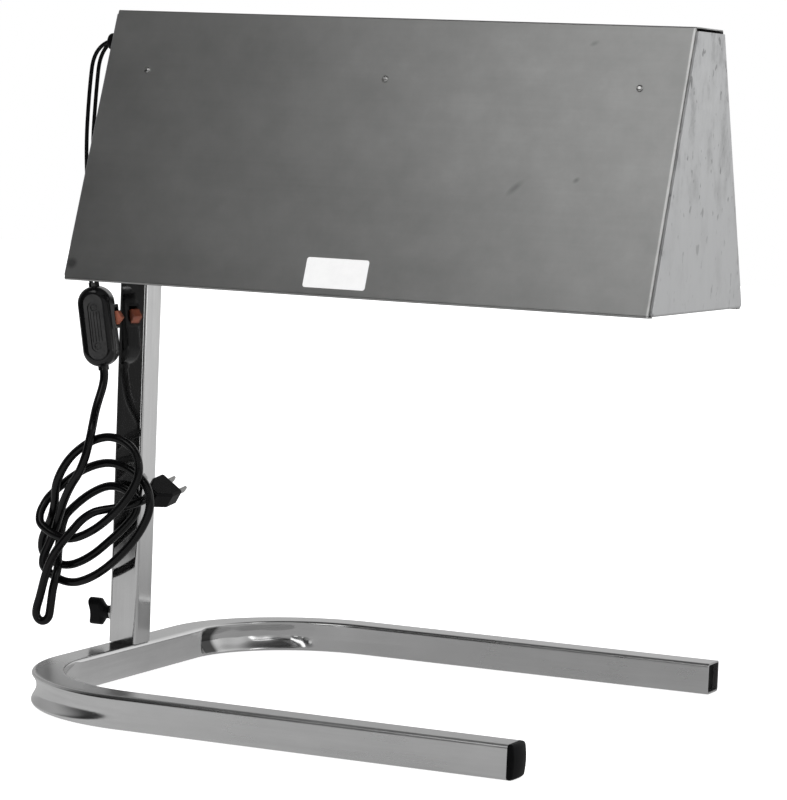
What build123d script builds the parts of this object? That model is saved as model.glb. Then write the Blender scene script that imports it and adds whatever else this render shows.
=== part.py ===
"""Heat lamp food warmer: a folded sheet hood on a sliding post over a U-shaped tube base.

Millimetres. The origin is on the floor under the post's axis. +X runs along the legs and the hood,
+Y points to the rear and +Z points up.
"""

import math
import os

from build123d import *

os.makedirs("parts", exist_ok=True)

# Base frame of bent square tube
tube = 25.4
tube_wall = 1.5
tube_corner = 3.0
base_length = 439.0
base_width = 444.0
bend_radius = 114.3

# Dents that bending leaves in the outer and inner walls of each bend
outer_dent_depth = 4.5
outer_dent_radius = 13.0
outer_dent_fade = 20.0
outer_dent_turn = 45.0
outer_dent_sweep = 45.0
inner_dent_depth = 5.5
inner_dent_radius = 11.5
inner_dent_fade = 37.0
inner_dent_turn = 36.0
inner_dent_sweep = 62.0

# Plugs in the ends of the legs
cap_dome = 6.0
cap_round = 60.0
cap_edge = 2.5
cap_plug_length = 14.0
cap_fit = 0.1
cap_rear_edge = 0.5
cap_rear_recess = 4.0

# Post, the inner tube that it slides on, and its clamp
slide_fit = 0.2
stub_wall = 1.5
stub_corner = 2.0
stub_length = 190.0
post_seat = 0.3
post_top_gap = 0.5
clamp_height = 47.4
screw_diameter = 6.0
thread_pitch = 1.0
thread_fit = 0.05
clamp_turns = 2
boss_diameter = 12.0
boss_length = 5.0
boss_edge = 0.6
pad_diameter = 8.0
pad_length = 4.0
pad_edge = 0.4
pad_gap = 0.05
pad_fit = 0.1
pad_end_room = 0.4
knob_gap = 1.0
knob_reach = 24.0
knob_head = 10.2
knob_hub = 10.6
knob_hub_length = 3.7
knob_span = 22.6
knob_wing = 10.4
knob_turn = 12.0
knob_edge = 1.0
knob_dish = 2.6
knob_dish_radius = 26.0
knob_socket = 9.0

# Hood of folded sheet
hood_length = 486.4
hood_bottom = 202.0
hood_top = 58.0
hood_height = 210.4
hood_clear = 320.1
hood_sheet = 0.9
hood_bend = 1.6
hood_hem = 8.0
panel_inset = 2.2
end_sheet = 1.2
end_bend = 2.0
end_corner = 3.2
end_flange = 15.0
end_top_gap = 2.2
end_notch_room = 0.6
sheet_fit = 0.1

# Lamp channel and the screws that hold it in the hood
web_drop = 64.5
channel_sheet = 1.2
channel_bend = 2.0
channel_lip = 32.0
channel_end_room = 1.0
hood_screw_lift = 18.15
hood_screw_pitch = 205.0
hood_screw_count = 3
hood_screw_shank = 3.9
hood_screw_length = 9.0
hood_screw_head = 5.2
hood_screw_dome = 1.9
screw_dome_round = 0.8

# Blank label on the front panel
label_width = 51.5
label_height = 23.5
label_corner = 2.0
label_thickness = 0.25
label_left = 10.9
label_rise = 18.6

# Bracket and bolts between the post, the left end plate and the channel
bracket_sheet = 2.5
bracket_width = 24.0
bracket_drop = 66.0
bracket_arm = 38.0
bracket_bend = 4.0
bolt_diameter = 6.0
bolt_head = 10.0
bolt_head_height = 4.0
bolt_nut_height = 5.0
bolt_tail = 2.0
bolt_low = 20.0
bolt_spacing = 30.0
arm_screw_first = 14.0
arm_screw_pitch = 14.0
arm_screw_diameter = 5.0
arm_screw_head = 8.0
arm_screw_head_height = 3.2
arm_nut_height = 4.0
hole_fit = 0.15

# Lampholders and reflector lamps
lamp_pitch = 228.0
lamp_mouth = 32.0
holder_flange = 58.0
holder_flange_height = 6.0
holder_body = 38.0
holder_height = 42.0
holder_top_slope = 4.0
socket_depth = 30.0
socket_shell = 28.0
socket_wall = 0.5
socket_lip = 4.0
socket_rise = 1.0
socket_fit = 0.1
contact_diameter = 10.0
contact_sheet = 0.6
contact_stem = 4.0
contact_head = 7.0
base_thread = 26.0
base_thread_depth = 0.6
base_thread_pitch = 3.6
base_threads = 5
base_skirt = 2.0
base_button = 8.0
base_button_height = 3.0
base_cup_depth = 12.0
lamp_neck = 23.6
lamp_throat = 35.0
lamp_diameter = 127.0
lamp_length = 165.0
lamp_glass = 1.0
lamp_neck_drop = 8.0
lamp_throat_taper = 1.0
lamp_throat_flare = 0.05
lamp_throat_drop = 38.0
lamp_belly_drop = 108.0
lamp_rim = 104.0
lamp_dome = 8.0
holder_screw_spacing = 48.0
holder_screw = 4.0
holder_screw_head = 7.0
holder_screw_head_height = 2.4
holder_nut_height = 3.2
holder_screw_tail = 1.0
terminal_rise = 28.0
terminal_head = 7.0
terminal_height = 2.6
terminal_stem = 3.0
terminal_stem_length = 4.0

# Bushing and leads
bushing_y = -26.0
bushing_z = 505.5
bushing_hole = 11.0
bushing_flange = 13.5
bushing_reach = 6.6
bushing_edge = 2.4
bushing_inner = 3.0
lead = 3.2
lead_spread = 4.4
lead_turn_in = 30.0
lead_straight = 24.0
bend_share = 0.45
# Bends of the leads between the bushing and the switch: X, Y and drop below the bushing
outer_lead_bends = [(-33.5, -28.2, 5.0), (-37.0, -28.0, 38.0), (-38.0, -29.0, 86.0), (-33.0, -30.0, 134.0)]
inner_lead_bends = [(-30.5, -23.8, 7.0), (-33.0, -24.0, 38.0), (-34.0, -26.0, 86.0), (-28.0, -28.0, 134.0)]

# Cord switch
switch_x = -20.4
switch_y = -30.0
switch_z = 280.6
switch_turn = 15.0
switch_lean = 8.7
switch_length = 64.0
switch_width = 27.2
switch_thickness = 22.0
switch_edge = 6.0
switch_nib = 3.0
switch_nib_width = 8.6
switch_nib_height = 5.4
groove_width = 9.6
groove_length = 40.0
groove_depth = 1.4
rib_count = 4
rib_width = 1.0
rib_height = 0.9
rib_length = 24.0
well_spacing = 30.6
well_diameter = 5.4
well_depth = 3.4
switch_screw_head = 4.6
switch_screw_head_height = 1.8
switch_screw_shank = 2.4
switch_screw_length = 12.0
slot_width = 0.8
slot_depth = 0.7
window_rim = 2.2
window_rim_wall = 2.4
window_rim_edge = 1.0
rocker_length = 11.0
rocker_width = 9.0
rocker_peak = 7.0
rocker_shoulder = 1.0
rocker_root = 11.0
rocker_pivot = 9.0
rocker_lift = 6.5
rocker_tilt = 8.0
rocker_room = 1.7
rocker_side_room = 0.4
trunnion = 3.0
trunnion_length = 1.6
trunnion_fit = 0.05

# Cord, hank and plug
cord = 6.2
cord_straight = 8.0
cord_bends = [(-15.5, -38.5, 217.5), (-11.7, -50.0, 203.5), (-11.8, -52.5, 195.0)]
hank_start = (-14.0, -52.9, 185.0)
hank_x = -20.0
hank_z = 140.0
hank_tilt = 45.0
hank_samples = 900
hank_gap_least = 0.4
hank_neighbours = 2.5
# Each loop's reach from the hank's middle, shift along the loop, and depth, at its four quarters
hank_loops = [
    {
        "left": (68.5, 13.0, -35.0),
        "down": (49.0, -7.5, -37.0),
        "right": (50.0, -19.0, -38.5),
        "up": (28.5, 21.0, -33.0),
    },
    {
        "left": (42.0, -11.5, -44.0),
        "down": (23.5, 17.0, -46.0),
        "right": (63.5, 2.5, -45.7),
        "up": (35.0, -20.5, -45.0),
    },
    {
        "left": (66.0, 1.5, -26.0),
        "down": (29.5, -13.0, -20.5),
        "right": (26.5, -17.5, -20.5),
        "up": (12.0, 27.0, -20.5),
    },
]
quarter_turns = {"left": 180, "down": 270, "right": 0, "up": 90}
# Places on the hank's other stretches, each with the direction of travel there
hank_way_in = [((-39.0, -44.0, 141.0), (-0.4, 0.25, -0.9)), ((-52.0, -36.0, 113.5), (-0.32, 0.12, -0.94))]
hank_tuck = [((-51.5, -37.5, 137.0), (-0.1, 0.4, -0.9))]
hanging_bight = [
    ((-51.0, -29.5, 102.5), (0.05, -0.4, -1.0)),
    ((-44.4, -44.0, 79.0), (-0.12, -0.4, -1.0)),
    ((-47.2, -47.5, 49.5), (-0.08, -0.12, -1.0)),
    ((-52.8, -48.7, 42.8), (-1.0, -0.08, 0.0)),
    ((-58.4, -49.5, 49.5), (0.06, -0.05, 1.0)),
    ((-54.5, -50.3, 64.0), (0.26, -0.06, 1.0)),
]
hank_way_out = [
    ((-31.5, -53.5, 111.5), (0.72, 0.05, 0.75)),
    ((-11.0, -47.0, 133.5), (0.85, 0.35, 0.42)),
    ((8.0, -37.0, 138.5), (0.93, 0.3, 0.22)),
]
plug_centre = (28.2, -7.0, 149.8)
plug_way = (0.117, 0.974, 0.193)
plug_across = (0.824, 0.013, -0.566)
plug_width = 22.6
plug_thickness = 14.6
plug_front = 11.7
plug_back = 16.0
plug_tail = 9.5
plug_shoulder = 2.0
plug_bevel = 1.4
plug_edge = 2.0
plug_neck = 8.4
plug_neck_reach = 4.0
plug_lead = 3.0
blade_spacing = 12.7
blade_width = 6.3
blade_thickness = 1.5
blade_length = 14.5
blade_tip = 1.5

# Places worked out from the sizes above
stub = tube - 2 * tube_wall - 2 * slide_fit
leg_y = base_width / 2 - tube / 2
leg_end = base_length - tube / 2
bend_outside = bend_radius + tube / 2
bend_inside = bend_radius - tube / 2
hood_left = -tube / 2 - end_sheet
hood_right = hood_left + hood_length
hood_middle = (hood_left + hood_right) / 2
hood_peak = hood_clear + hood_height
hood_lean = math.degrees(math.atan2((hood_bottom - hood_top) / 2, hood_height))
web_height = hood_peak - web_drop
web_top = web_height + channel_sheet
post_bottom = tube + post_seat
post_top = web_height - post_top_gap
pad_end = pad_length - (tube / 2 - stub / 2) + pad_gap
clamp_travel = clamp_turns * thread_pitch
lamp_places = {"left": hood_middle - lamp_pitch / 2, "right": hood_middle + lamp_pitch / 2}
bracket_face = tube / 2 + bracket_sheet
bolt_heights = (web_height - bracket_drop + bolt_low, web_height - bracket_drop + bolt_low + bolt_spacing)
arm_screw_places = (bracket_face + arm_screw_first, bracket_face + arm_screw_first + arm_screw_pitch)
holder_radius = holder_body / 2
terminal_y = holder_radius + terminal_height + lead / 2


def hood_half_width(height, inset):
    """Half width inside the hood's slanted panels, inset square to the panel, at a height."""
    slope = math.tan(math.radians(hood_lean))
    return hood_bottom / 2 - (height - hood_clear) * slope - inset / math.cos(math.radians(hood_lean))


lean = math.radians(hood_lean)
hood_screw_rise = (web_height + hood_screw_lift - hood_clear) / math.cos(lean)
front_panel = Plane(
    origin=(hood_middle, -hood_bottom / 2, hood_clear),
    x_dir=(1, 0, 0),
    z_dir=(0, -math.cos(lean), math.sin(lean)),
)
back_panel = Plane(
    origin=(hood_middle, hood_bottom / 2, hood_clear),
    x_dir=(-1, 0, 0),
    z_dir=(0, math.cos(lean), math.sin(lean)),
)
clamp_plane = Plane(origin=(-tube / 2, 0, clamp_height), x_dir=(0, -1, 0), z_dir=(-1, 0, 0))
bushing_plane = Plane(origin=(hood_left, bushing_y, bushing_z), x_dir=(0, -1, 0), z_dir=(-1, 0, 0))


# Fasteners that repeat


def pan_screw(head, dome, shank, length):
    """Dome-headed screw: head above the XY plane, shank below it."""
    with BuildPart() as screw:
        with BuildSketch():
            Circle(head / 2)
        extrude(amount=dome)
        fillet(screw.faces().sort_by(Axis.Z)[-1].edges(), dome * screw_dome_round)
        with BuildSketch():
            Circle(shank / 2)
        extrude(amount=-length)
    return screw.part


def hex_bolt(across, head_height, shank, length):
    """Hexagon-headed bolt: head above the XY plane, shank below it."""
    with BuildPart() as bolt:
        with BuildSketch():
            RegularPolygon(across / 2, 6, major_radius=False)
        extrude(amount=head_height)
        with BuildSketch():
            Circle(shank / 2)
        extrude(amount=-length)
    return bolt.part


def hex_nut(across, height, bore):
    """Hexagon nut standing on the XY plane."""
    with BuildPart() as nut:
        with BuildSketch():
            RegularPolygon(across / 2, 6, major_radius=False)
            Circle(bore / 2, mode=Mode.SUBTRACT)
        extrude(amount=height)
    return nut.part


# Base frame


def bend_die(side, turn, shift, reach, radius, half_sweep):
    """Round bar bent to an arc that presses a dent into one bend of the tube.

    side is -1 for the front bend and 1 for the rear one, turn is the angle from the crossbar, reach is
    the bar's distance from the bend's centre and shift moves the arc's own centre along that line.
    """
    direction = 180 - side * turn
    along = Vector(math.cos(math.radians(direction)), math.sin(math.radians(direction)))
    centre = Vector(bend_radius, side * (leg_y - bend_radius)) + along * shift
    with BuildPart() as die:
        with BuildLine(Plane.XY.offset(tube / 2)) as path:
            CenterArc(centre, reach - shift, direction - half_sweep, 2 * half_sweep)
        with BuildSketch(Plane(path.line @ 0, z_dir=path.line % 0)):
            Circle(radius)
        sweep(path=path.line)
    return die.part


def outer_die(side, wall):
    """Die for the outer wall's dent, thicker by wall for the bore."""
    reach = bend_outside + outer_dent_radius - outer_dent_depth
    radius = outer_dent_radius + wall
    return bend_die(side, outer_dent_turn, -outer_dent_fade, reach, radius, outer_dent_sweep)


def inner_die(side, wall):
    """Die for the inner wall's dent, thicker by wall for the bore."""
    reach = bend_inside - inner_dent_radius + inner_dent_depth
    radius = inner_dent_radius + wall
    return bend_die(side, inner_dent_turn, inner_dent_fade, reach, radius, inner_dent_sweep)


with BuildLine(Plane.XY.offset(tube / 2)) as frame_line:
    FilletPolyline((leg_end, -leg_y), (0, -leg_y), (0, leg_y), (leg_end, leg_y), radius=bend_radius)
leg_section = Plane(origin=frame_line.line @ 0, x_dir=(0, 1, 0), z_dir=(-1, 0, 0))

with BuildPart() as frame_bore:
    with BuildSketch(leg_section):
        RectangleRounded(tube - 2 * tube_wall, tube - 2 * tube_wall, tube_corner - tube_wall)
    sweep(path=frame_line.line)
    for side in (-1, 1):
        add(outer_die(side, tube_wall), mode=Mode.SUBTRACT)
        add(inner_die(side, tube_wall), mode=Mode.SUBTRACT)

with BuildPart() as base_frame:
    with BuildSketch(leg_section):
        RectangleRounded(tube, tube, tube_corner)
    sweep(path=frame_line.line)
    for side in (-1, 1):
        add(outer_die(side, 0), mode=Mode.SUBTRACT)
        add(inner_die(side, 0), mode=Mode.SUBTRACT)
    add(frame_bore.part, mode=Mode.SUBTRACT)
    with BuildSketch(Plane.XY.offset(tube / 2)):
        RectangleRounded(stub, stub, stub_corner)
    extrude(amount=tube / 2, mode=Mode.SUBTRACT)
base_frame.part.label = "base_frame"
export_step(base_frame.part, "parts/base_frame.step")

cap_plug = tube - 2 * tube_wall - 2 * cap_fit
cap_plug_corner = tube_corner - tube_wall

with BuildPart() as leg_cap_front:
    with BuildSketch(Plane.YZ.offset(leg_end)):
        with Locations((-leg_y, tube / 2)):
            RectangleRounded(tube, tube, tube_corner)
    extrude(amount=cap_dome)
    with Locations((leg_end + cap_dome - cap_round, -leg_y, tube / 2)):
        Sphere(cap_round, mode=Mode.INTERSECT)
    fillet(leg_cap_front.faces().sort_by(Axis.X)[-1].edges(), cap_edge)
    with BuildSketch(Plane.YZ.offset(leg_end)):
        with Locations((-leg_y, tube / 2)):
            RectangleRounded(cap_plug, cap_plug, cap_plug_corner)
    extrude(amount=-cap_plug_length)
leg_cap_front.part.label = "leg_cap_front"
export_step(leg_cap_front.part, "parts/leg_cap_front.step")

with BuildPart() as leg_cap_rear:
    with BuildSketch(Plane.YZ.offset(leg_end - cap_rear_recess)):
        with Locations((leg_y, tube / 2)):
            RectangleRounded(cap_plug, cap_plug, cap_plug_corner)
    extrude(amount=-cap_plug_length)
    chamfer(leg_cap_rear.faces().sort_by(Axis.X)[-1].edges(), cap_rear_edge)
leg_cap_rear.part.label = "leg_cap_rear"
export_step(leg_cap_rear.part, "parts/leg_cap_rear.step")

# Post and clamp

with BuildPart() as post_stub:
    with BuildSketch(Plane.XY.offset(tube_corner)):
        RectangleRounded(stub, stub, stub_corner)
        RectangleRounded(stub - 2 * stub_wall, stub - 2 * stub_wall, stub_corner / 2, mode=Mode.SUBTRACT)
    extrude(amount=tube + stub_length - tube_corner)
post_stub.part.label = "post_stub"
export_step(post_stub.part, "parts/post_stub.step")

with BuildPart() as post_tube:
    with BuildSketch(Plane.XY.offset(post_bottom)):
        RectangleRounded(tube, tube, tube_corner)
        bore = tube - 2 * tube_wall
        RectangleRounded(bore, bore, tube_corner - tube_wall, mode=Mode.SUBTRACT)
    extrude(amount=post_top - post_bottom)
    with BuildSketch(clamp_plane):
        Circle(pad_diameter / 2 + pad_fit)
    extrude(amount=-tube / 2, mode=Mode.SUBTRACT)
    with BuildSketch(Plane.YZ.offset(-tube)):
        with Locations(*[(0, height) for height in bolt_heights]):
            Circle(bolt_diameter / 2 + hole_fit)
    extrude(amount=2 * tube, mode=Mode.SUBTRACT)
post_tube.part.label = "post_tube"
export_step(post_tube.part, "parts/post_tube.step")

with BuildPart() as clamp_boss:
    with BuildSketch(clamp_plane):
        Circle(boss_diameter / 2)
    extrude(amount=boss_length)
    chamfer(clamp_boss.faces().sort_by(Axis.X)[0].edges(), boss_edge)
    with BuildSketch(clamp_plane):
        Circle(screw_diameter / 2 + thread_fit)
    extrude(amount=boss_length, mode=Mode.SUBTRACT)
    with BuildSketch(clamp_plane):
        Circle(pad_diameter / 2 + pad_fit)
    extrude(amount=pad_end + clamp_travel + pad_end_room, mode=Mode.SUBTRACT)
clamp_boss.part.label = "clamp_boss"
export_step(clamp_boss.part, "parts/clamp_boss.step")

with BuildPart() as clamp_pad:
    with BuildSketch(clamp_plane.offset(pad_end)):
        Circle(pad_diameter / 2)
    extrude(amount=-pad_length)
    chamfer(clamp_pad.faces().sort_by(Axis.X)[-1].edges(), pad_edge)
clamp_pad.part.label = "clamp_pad"
export_step(clamp_pad.part, "parts/clamp_pad.step")

knob_start = boss_length + knob_gap
head_start = knob_reach - knob_head

with BuildPart() as clamp_screw:
    with BuildSketch(clamp_plane.offset(pad_end)):
        Circle(screw_diameter / 2)
    extrude(amount=knob_start + knob_socket - pad_end)
clamp_screw.part.label = "clamp_screw"
export_step(clamp_screw.part, "parts/clamp_screw.step")

with BuildPart() as clamp_knob:
    with BuildSketch(clamp_plane.offset(knob_start)):
        Circle(knob_hub / 2)
    extrude(amount=knob_hub_length)
    with BuildSketch(clamp_plane.offset(knob_start + knob_hub_length)):
        Circle(knob_hub / 2)
    with BuildSketch(clamp_plane.offset(head_start)):
        SlotOverall(knob_span, knob_wing, rotation=90 - knob_turn)
    loft()
    with BuildSketch(clamp_plane.offset(head_start)):
        SlotOverall(knob_span, knob_wing, rotation=90 - knob_turn)
    extrude(amount=knob_head)
    fillet(clamp_knob.faces().sort_by(Axis.X)[0].edges(), knob_edge)
    with Locations(clamp_plane.offset(knob_reach + knob_dish_radius - knob_dish)):
        Sphere(knob_dish_radius, mode=Mode.SUBTRACT)
    with BuildSketch(clamp_plane.offset(knob_start)):
        Circle(screw_diameter / 2)
    extrude(amount=knob_socket, mode=Mode.SUBTRACT)
clamp_knob.part.label = "clamp_knob"
export_step(clamp_knob.part, "parts/clamp_knob.step")

# Hood

with BuildPart() as hood_shell:
    with BuildSketch(Plane.YZ.offset(hood_left + panel_inset)):
        with BuildLine():
            FilletPolyline(
                (-(hood_bottom / 2 - hood_hem), hood_clear),
                (-hood_bottom / 2, hood_clear),
                (-hood_top / 2, hood_peak),
                (hood_top / 2, hood_peak),
                (hood_bottom / 2, hood_clear),
                (hood_bottom / 2 - hood_hem, hood_clear),
                radius=hood_bend,
            )
            offset(amount=hood_sheet, side=Side.RIGHT)
        make_face()
    extrude(amount=hood_length - 2 * panel_inset)
    with BuildSketch(front_panel, back_panel):
        with Locations((0, hood_screw_rise)):
            with GridLocations(hood_screw_pitch, 1, hood_screw_count, 1):
                Circle(hood_screw_shank / 2 + hole_fit)
    extrude(amount=-hood_screw_length, mode=Mode.SUBTRACT)
hood_shell.part.label = "hood_shell"
export_step(hood_shell.part, "parts/hood_shell.step")


def end_plate(face_x, inward):
    """Flanged end plate with its outer face at face_x; inward is the X direction of its flanges."""
    low = hood_clear + hood_sheet + sheet_fit
    high = hood_peak - hood_sheet - end_top_gap
    inset = hood_sheet + sheet_fit
    low_half = hood_half_width(low, inset)
    high_half = hood_half_width(high, inset)
    with BuildPart() as plate:
        with BuildSketch(Plane.YZ.offset(face_x)):
            with BuildLine():
                Polyline(
                    (-low_half, low),
                    (-high_half, high),
                    (high_half, high),
                    (low_half, low),
                    close=True,
                )
            make_face()
        extrude(amount=inward * end_flange)
        fillet(plate.edges().filter_by(Axis.X).sort_by(Axis.Z)[:2], end_corner)
        outer_face = plate.faces().sort_by(Axis.X)[0 if inward > 0 else -1]
        fillet(outer_face.edges().sort_by(Axis.Z)[:-1], end_bend)
        open_face = plate.faces().sort_by(Axis.X)[-1 if inward > 0 else 0]
        top_face = plate.faces().sort_by(Axis.Z)[-1]
        offset(amount=-end_sheet, openings=[open_face, top_face])
    return plate.part


with BuildPart() as hood_end_right:
    add(end_plate(hood_right, -1))
hood_end_right.part.label = "hood_end_right"
export_step(hood_end_right.part, "parts/hood_end_right.step")

with BuildPart() as hood_end_left:
    add(end_plate(hood_left, 1))
    with BuildSketch(Plane.XY.offset(hood_clear)):
        Rectangle(tube + 2 * end_notch_room, tube + 2 * end_notch_room)
        with Locations((-tube, 0)):
            Rectangle(tube, tube + 2 * end_notch_room, mode=Mode.SUBTRACT)
    extrude(amount=end_flange, mode=Mode.SUBTRACT)
    with BuildSketch(Plane.YZ.offset(hood_left)):
        with Locations((bushing_y, bushing_z)):
            Circle(bushing_hole / 2)
        with Locations(*[(0, height) for height in bolt_heights]):
            Circle(bolt_diameter / 2 + hole_fit)
    extrude(amount=end_sheet, mode=Mode.SUBTRACT)
hood_end_left.part.label = "hood_end_left"
export_step(hood_end_left.part, "parts/hood_end_left.step")

with BuildPart() as blank_label:
    with BuildSketch(front_panel):
        with Locations((-label_left, label_rise)):
            RectangleRounded(label_width, label_height, label_corner)
    extrude(amount=label_thickness)
blank_label.part.label = "blank_label"
export_step(blank_label.part, "parts/blank_label.step")

# Lamp channel, its screws, and the bracket that ties it to the post

channel_inset = hood_sheet + sheet_fit
lip_top = web_height + channel_lip
lip_half = hood_half_width(lip_top, channel_inset)
web_half = hood_half_width(web_height, channel_inset)
channel_start = hood_left + end_flange + channel_end_room

with BuildPart() as lamp_channel:
    with BuildSketch(Plane.YZ.offset(channel_start)):
        with BuildLine():
            FilletPolyline(
                (-lip_half, lip_top),
                (-web_half, web_height),
                (web_half, web_height),
                (lip_half, lip_top),
                radius=channel_bend,
            )
            offset(amount=channel_sheet, side=Side.LEFT)
        make_face()
    extrude(amount=hood_right - end_flange - channel_end_room - channel_start)
    with BuildSketch(front_panel, back_panel):
        with Locations((0, hood_screw_rise)):
            with GridLocations(hood_screw_pitch, 1, hood_screw_count, 1):
                Circle(hood_screw_shank / 2 + thread_fit)
    extrude(amount=-hood_screw_length, mode=Mode.SUBTRACT)
    with BuildSketch(Plane.XY.offset(web_height)):
        with Locations(*[(place, 0) for place in lamp_places.values()]):
            Circle(lamp_mouth / 2)
            with GridLocations(1, holder_screw_spacing, 1, 2):
                Circle(holder_screw / 2 + hole_fit)
        with Locations(*[(place, 0) for place in arm_screw_places]):
            Circle(arm_screw_diameter / 2 + hole_fit)
    extrude(amount=channel_sheet, mode=Mode.SUBTRACT)
lamp_channel.part.label = "lamp_channel"
export_step(lamp_channel.part, "parts/lamp_channel.step")

with BuildPart(front_panel, back_panel) as hood_screws:
    with Locations((0, hood_screw_rise)):
        with GridLocations(hood_screw_pitch, 1, hood_screw_count, 1):
            add(pan_screw(hood_screw_head, hood_screw_dome, hood_screw_shank, hood_screw_length))
hood_screws.part.label = "hood_screws"
export_step(hood_screws.part, "parts/hood_screws.step")

with BuildPart() as post_bracket:
    with BuildSketch(Plane.XZ.offset(-bracket_width / 2)):
        with BuildLine():
            FilletPolyline(
                (tube / 2, web_height - bracket_drop),
                (tube / 2, web_height),
                (tube / 2 + bracket_arm, web_height),
                radius=bracket_bend,
            )
            offset(amount=bracket_sheet, side=Side.RIGHT)
        make_face()
    extrude(amount=bracket_width)
    with BuildSketch(Plane.YZ.offset(tube / 2)):
        with Locations(*[(0, height) for height in bolt_heights]):
            Circle(bolt_diameter / 2 + hole_fit)
    extrude(amount=bracket_sheet, mode=Mode.SUBTRACT)
    with BuildSketch(Plane.XY.offset(web_height)):
        with Locations(*[(place, 0) for place in arm_screw_places]):
            Circle(arm_screw_diameter / 2 + hole_fit)
    extrude(amount=-bracket_sheet, mode=Mode.SUBTRACT)
post_bracket.part.label = "post_bracket"
export_step(post_bracket.part, "parts/post_bracket.step")

bolt_planes = [Plane((hood_left, 0, height), x_dir=(0, -1, 0), z_dir=(-1, 0, 0)) for height in bolt_heights]
nut_planes = [Plane((bracket_face, 0, height), x_dir=(0, 1, 0), z_dir=(1, 0, 0)) for height in bolt_heights]
bolt_length = bracket_face - hood_left + bolt_nut_height + bolt_tail

with BuildPart(*bolt_planes) as post_bolts:
    add(hex_bolt(bolt_head, bolt_head_height, bolt_diameter, bolt_length))
post_bolts.part.label = "post_bolts"
export_step(post_bolts.part, "parts/post_bolts.step")

with BuildPart(*nut_planes) as post_nuts:
    add(hex_nut(bolt_head, bolt_nut_height, bolt_diameter + 2 * thread_fit))
post_nuts.part.label = "post_nuts"
export_step(post_nuts.part, "parts/post_nuts.step")

arm_under = web_height - bracket_sheet
arm_screw_planes = [
    Plane((place, 0, arm_under), x_dir=(1, 0, 0), z_dir=(0, 0, -1))
    for place in arm_screw_places
]
arm_screw_length = bracket_sheet + channel_sheet + arm_nut_height + bolt_tail

with BuildPart(*arm_screw_planes) as bracket_screws:
    add(pan_screw(arm_screw_head, arm_screw_head_height, arm_screw_diameter, arm_screw_length))
bracket_screws.part.label = "bracket_screws"
export_step(bracket_screws.part, "parts/bracket_screws.step")

with BuildPart(Plane.XY.offset(web_top)) as bracket_nuts:
    with Locations(*[(place, 0) for place in arm_screw_places]):
        add(hex_nut(arm_screw_head, arm_nut_height, arm_screw_diameter + 2 * thread_fit))
bracket_nuts.part.label = "bracket_nuts"
export_step(bracket_nuts.part, "parts/bracket_nuts.step")

# Lampholders and lamps


def lamp_axis(place):
    """Upright axis of the lamp at an X place."""
    return Axis((place, 0, 0), (0, 0, 1))


def lamp_section(place):
    """Section plane through a lamp's axis: local x is the radius, local y the height over the web."""
    return Plane(origin=(place, 0, web_top), x_dir=(1, 0, 0), z_dir=(0, -1, 0))


def lampholder(place):
    """Porcelain body with a flange that stands on the web, bored for the screw shell."""
    bore = socket_shell / 2 + socket_fit
    with BuildPart() as holder:
        with BuildSketch(lamp_section(place)):
            with BuildLine():
                Polyline(
                    (bore, 0),
                    (holder_flange / 2, 0),
                    (holder_flange / 2, holder_flange_height),
                    (holder_radius, holder_flange_height),
                    (holder_radius, holder_height - holder_top_slope),
                    (holder_radius - holder_top_slope, holder_height),
                    (contact_stem / 2 + socket_fit, holder_height),
                    (contact_stem / 2 + socket_fit, socket_depth),
                    (bore, socket_depth),
                    close=True,
                )
            make_face()
        revolve(axis=lamp_axis(place))
        with BuildSketch(Plane.XY.offset(web_top)):
            with Locations((place, 0)):
                with GridLocations(1, holder_screw_spacing, 1, 2):
                    Circle(holder_screw / 2 + hole_fit)
        extrude(amount=holder_flange_height, mode=Mode.SUBTRACT)
        for side in (-1, 1):
            wall = Plane((place, side * holder_radius, web_top + terminal_rise), z_dir=(0, side, 0))
            with BuildSketch(wall):
                Circle(terminal_stem / 2 + thread_fit)
            extrude(amount=-terminal_stem_length - thread_fit, mode=Mode.SUBTRACT)
    return holder.part


def screw_shell(place):
    """Thin screw shell inside the porcelain, turned in at the top."""
    outside = socket_shell / 2
    with BuildPart() as shell:
        with BuildSketch(lamp_section(place)):
            with BuildLine():
                Polyline(
                    (outside - socket_wall, socket_rise),
                    (outside, socket_rise),
                    (outside, socket_depth),
                    (outside - socket_lip, socket_depth),
                    (outside - socket_lip, socket_depth - socket_wall),
                    (outside - socket_wall, socket_depth - socket_wall),
                    close=True,
                )
            make_face()
        revolve(axis=lamp_axis(place))
    return shell.part


def centre_contact(place):
    """Centre contact riveted through the top of the porcelain."""
    with BuildPart() as contact:
        with BuildSketch(Plane.XY.offset(web_top + socket_depth)):
            with Locations((place, 0)):
                Circle(contact_diameter / 2)
        extrude(amount=-contact_sheet)
        with BuildSketch(Plane.XY.offset(web_top + socket_depth)):
            with Locations((place, 0)):
                Circle(contact_stem / 2)
        extrude(amount=holder_height - socket_depth)
        with BuildSketch(Plane.XY.offset(web_top + holder_height)):
            with Locations((place, 0)):
                Circle(contact_head / 2)
        extrude(amount=contact_sheet * 2)
    return contact.part


button_top = socket_depth - contact_sheet
thread_top = button_top - base_button_height
neck_top = base_cup_depth - base_skirt


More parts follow.
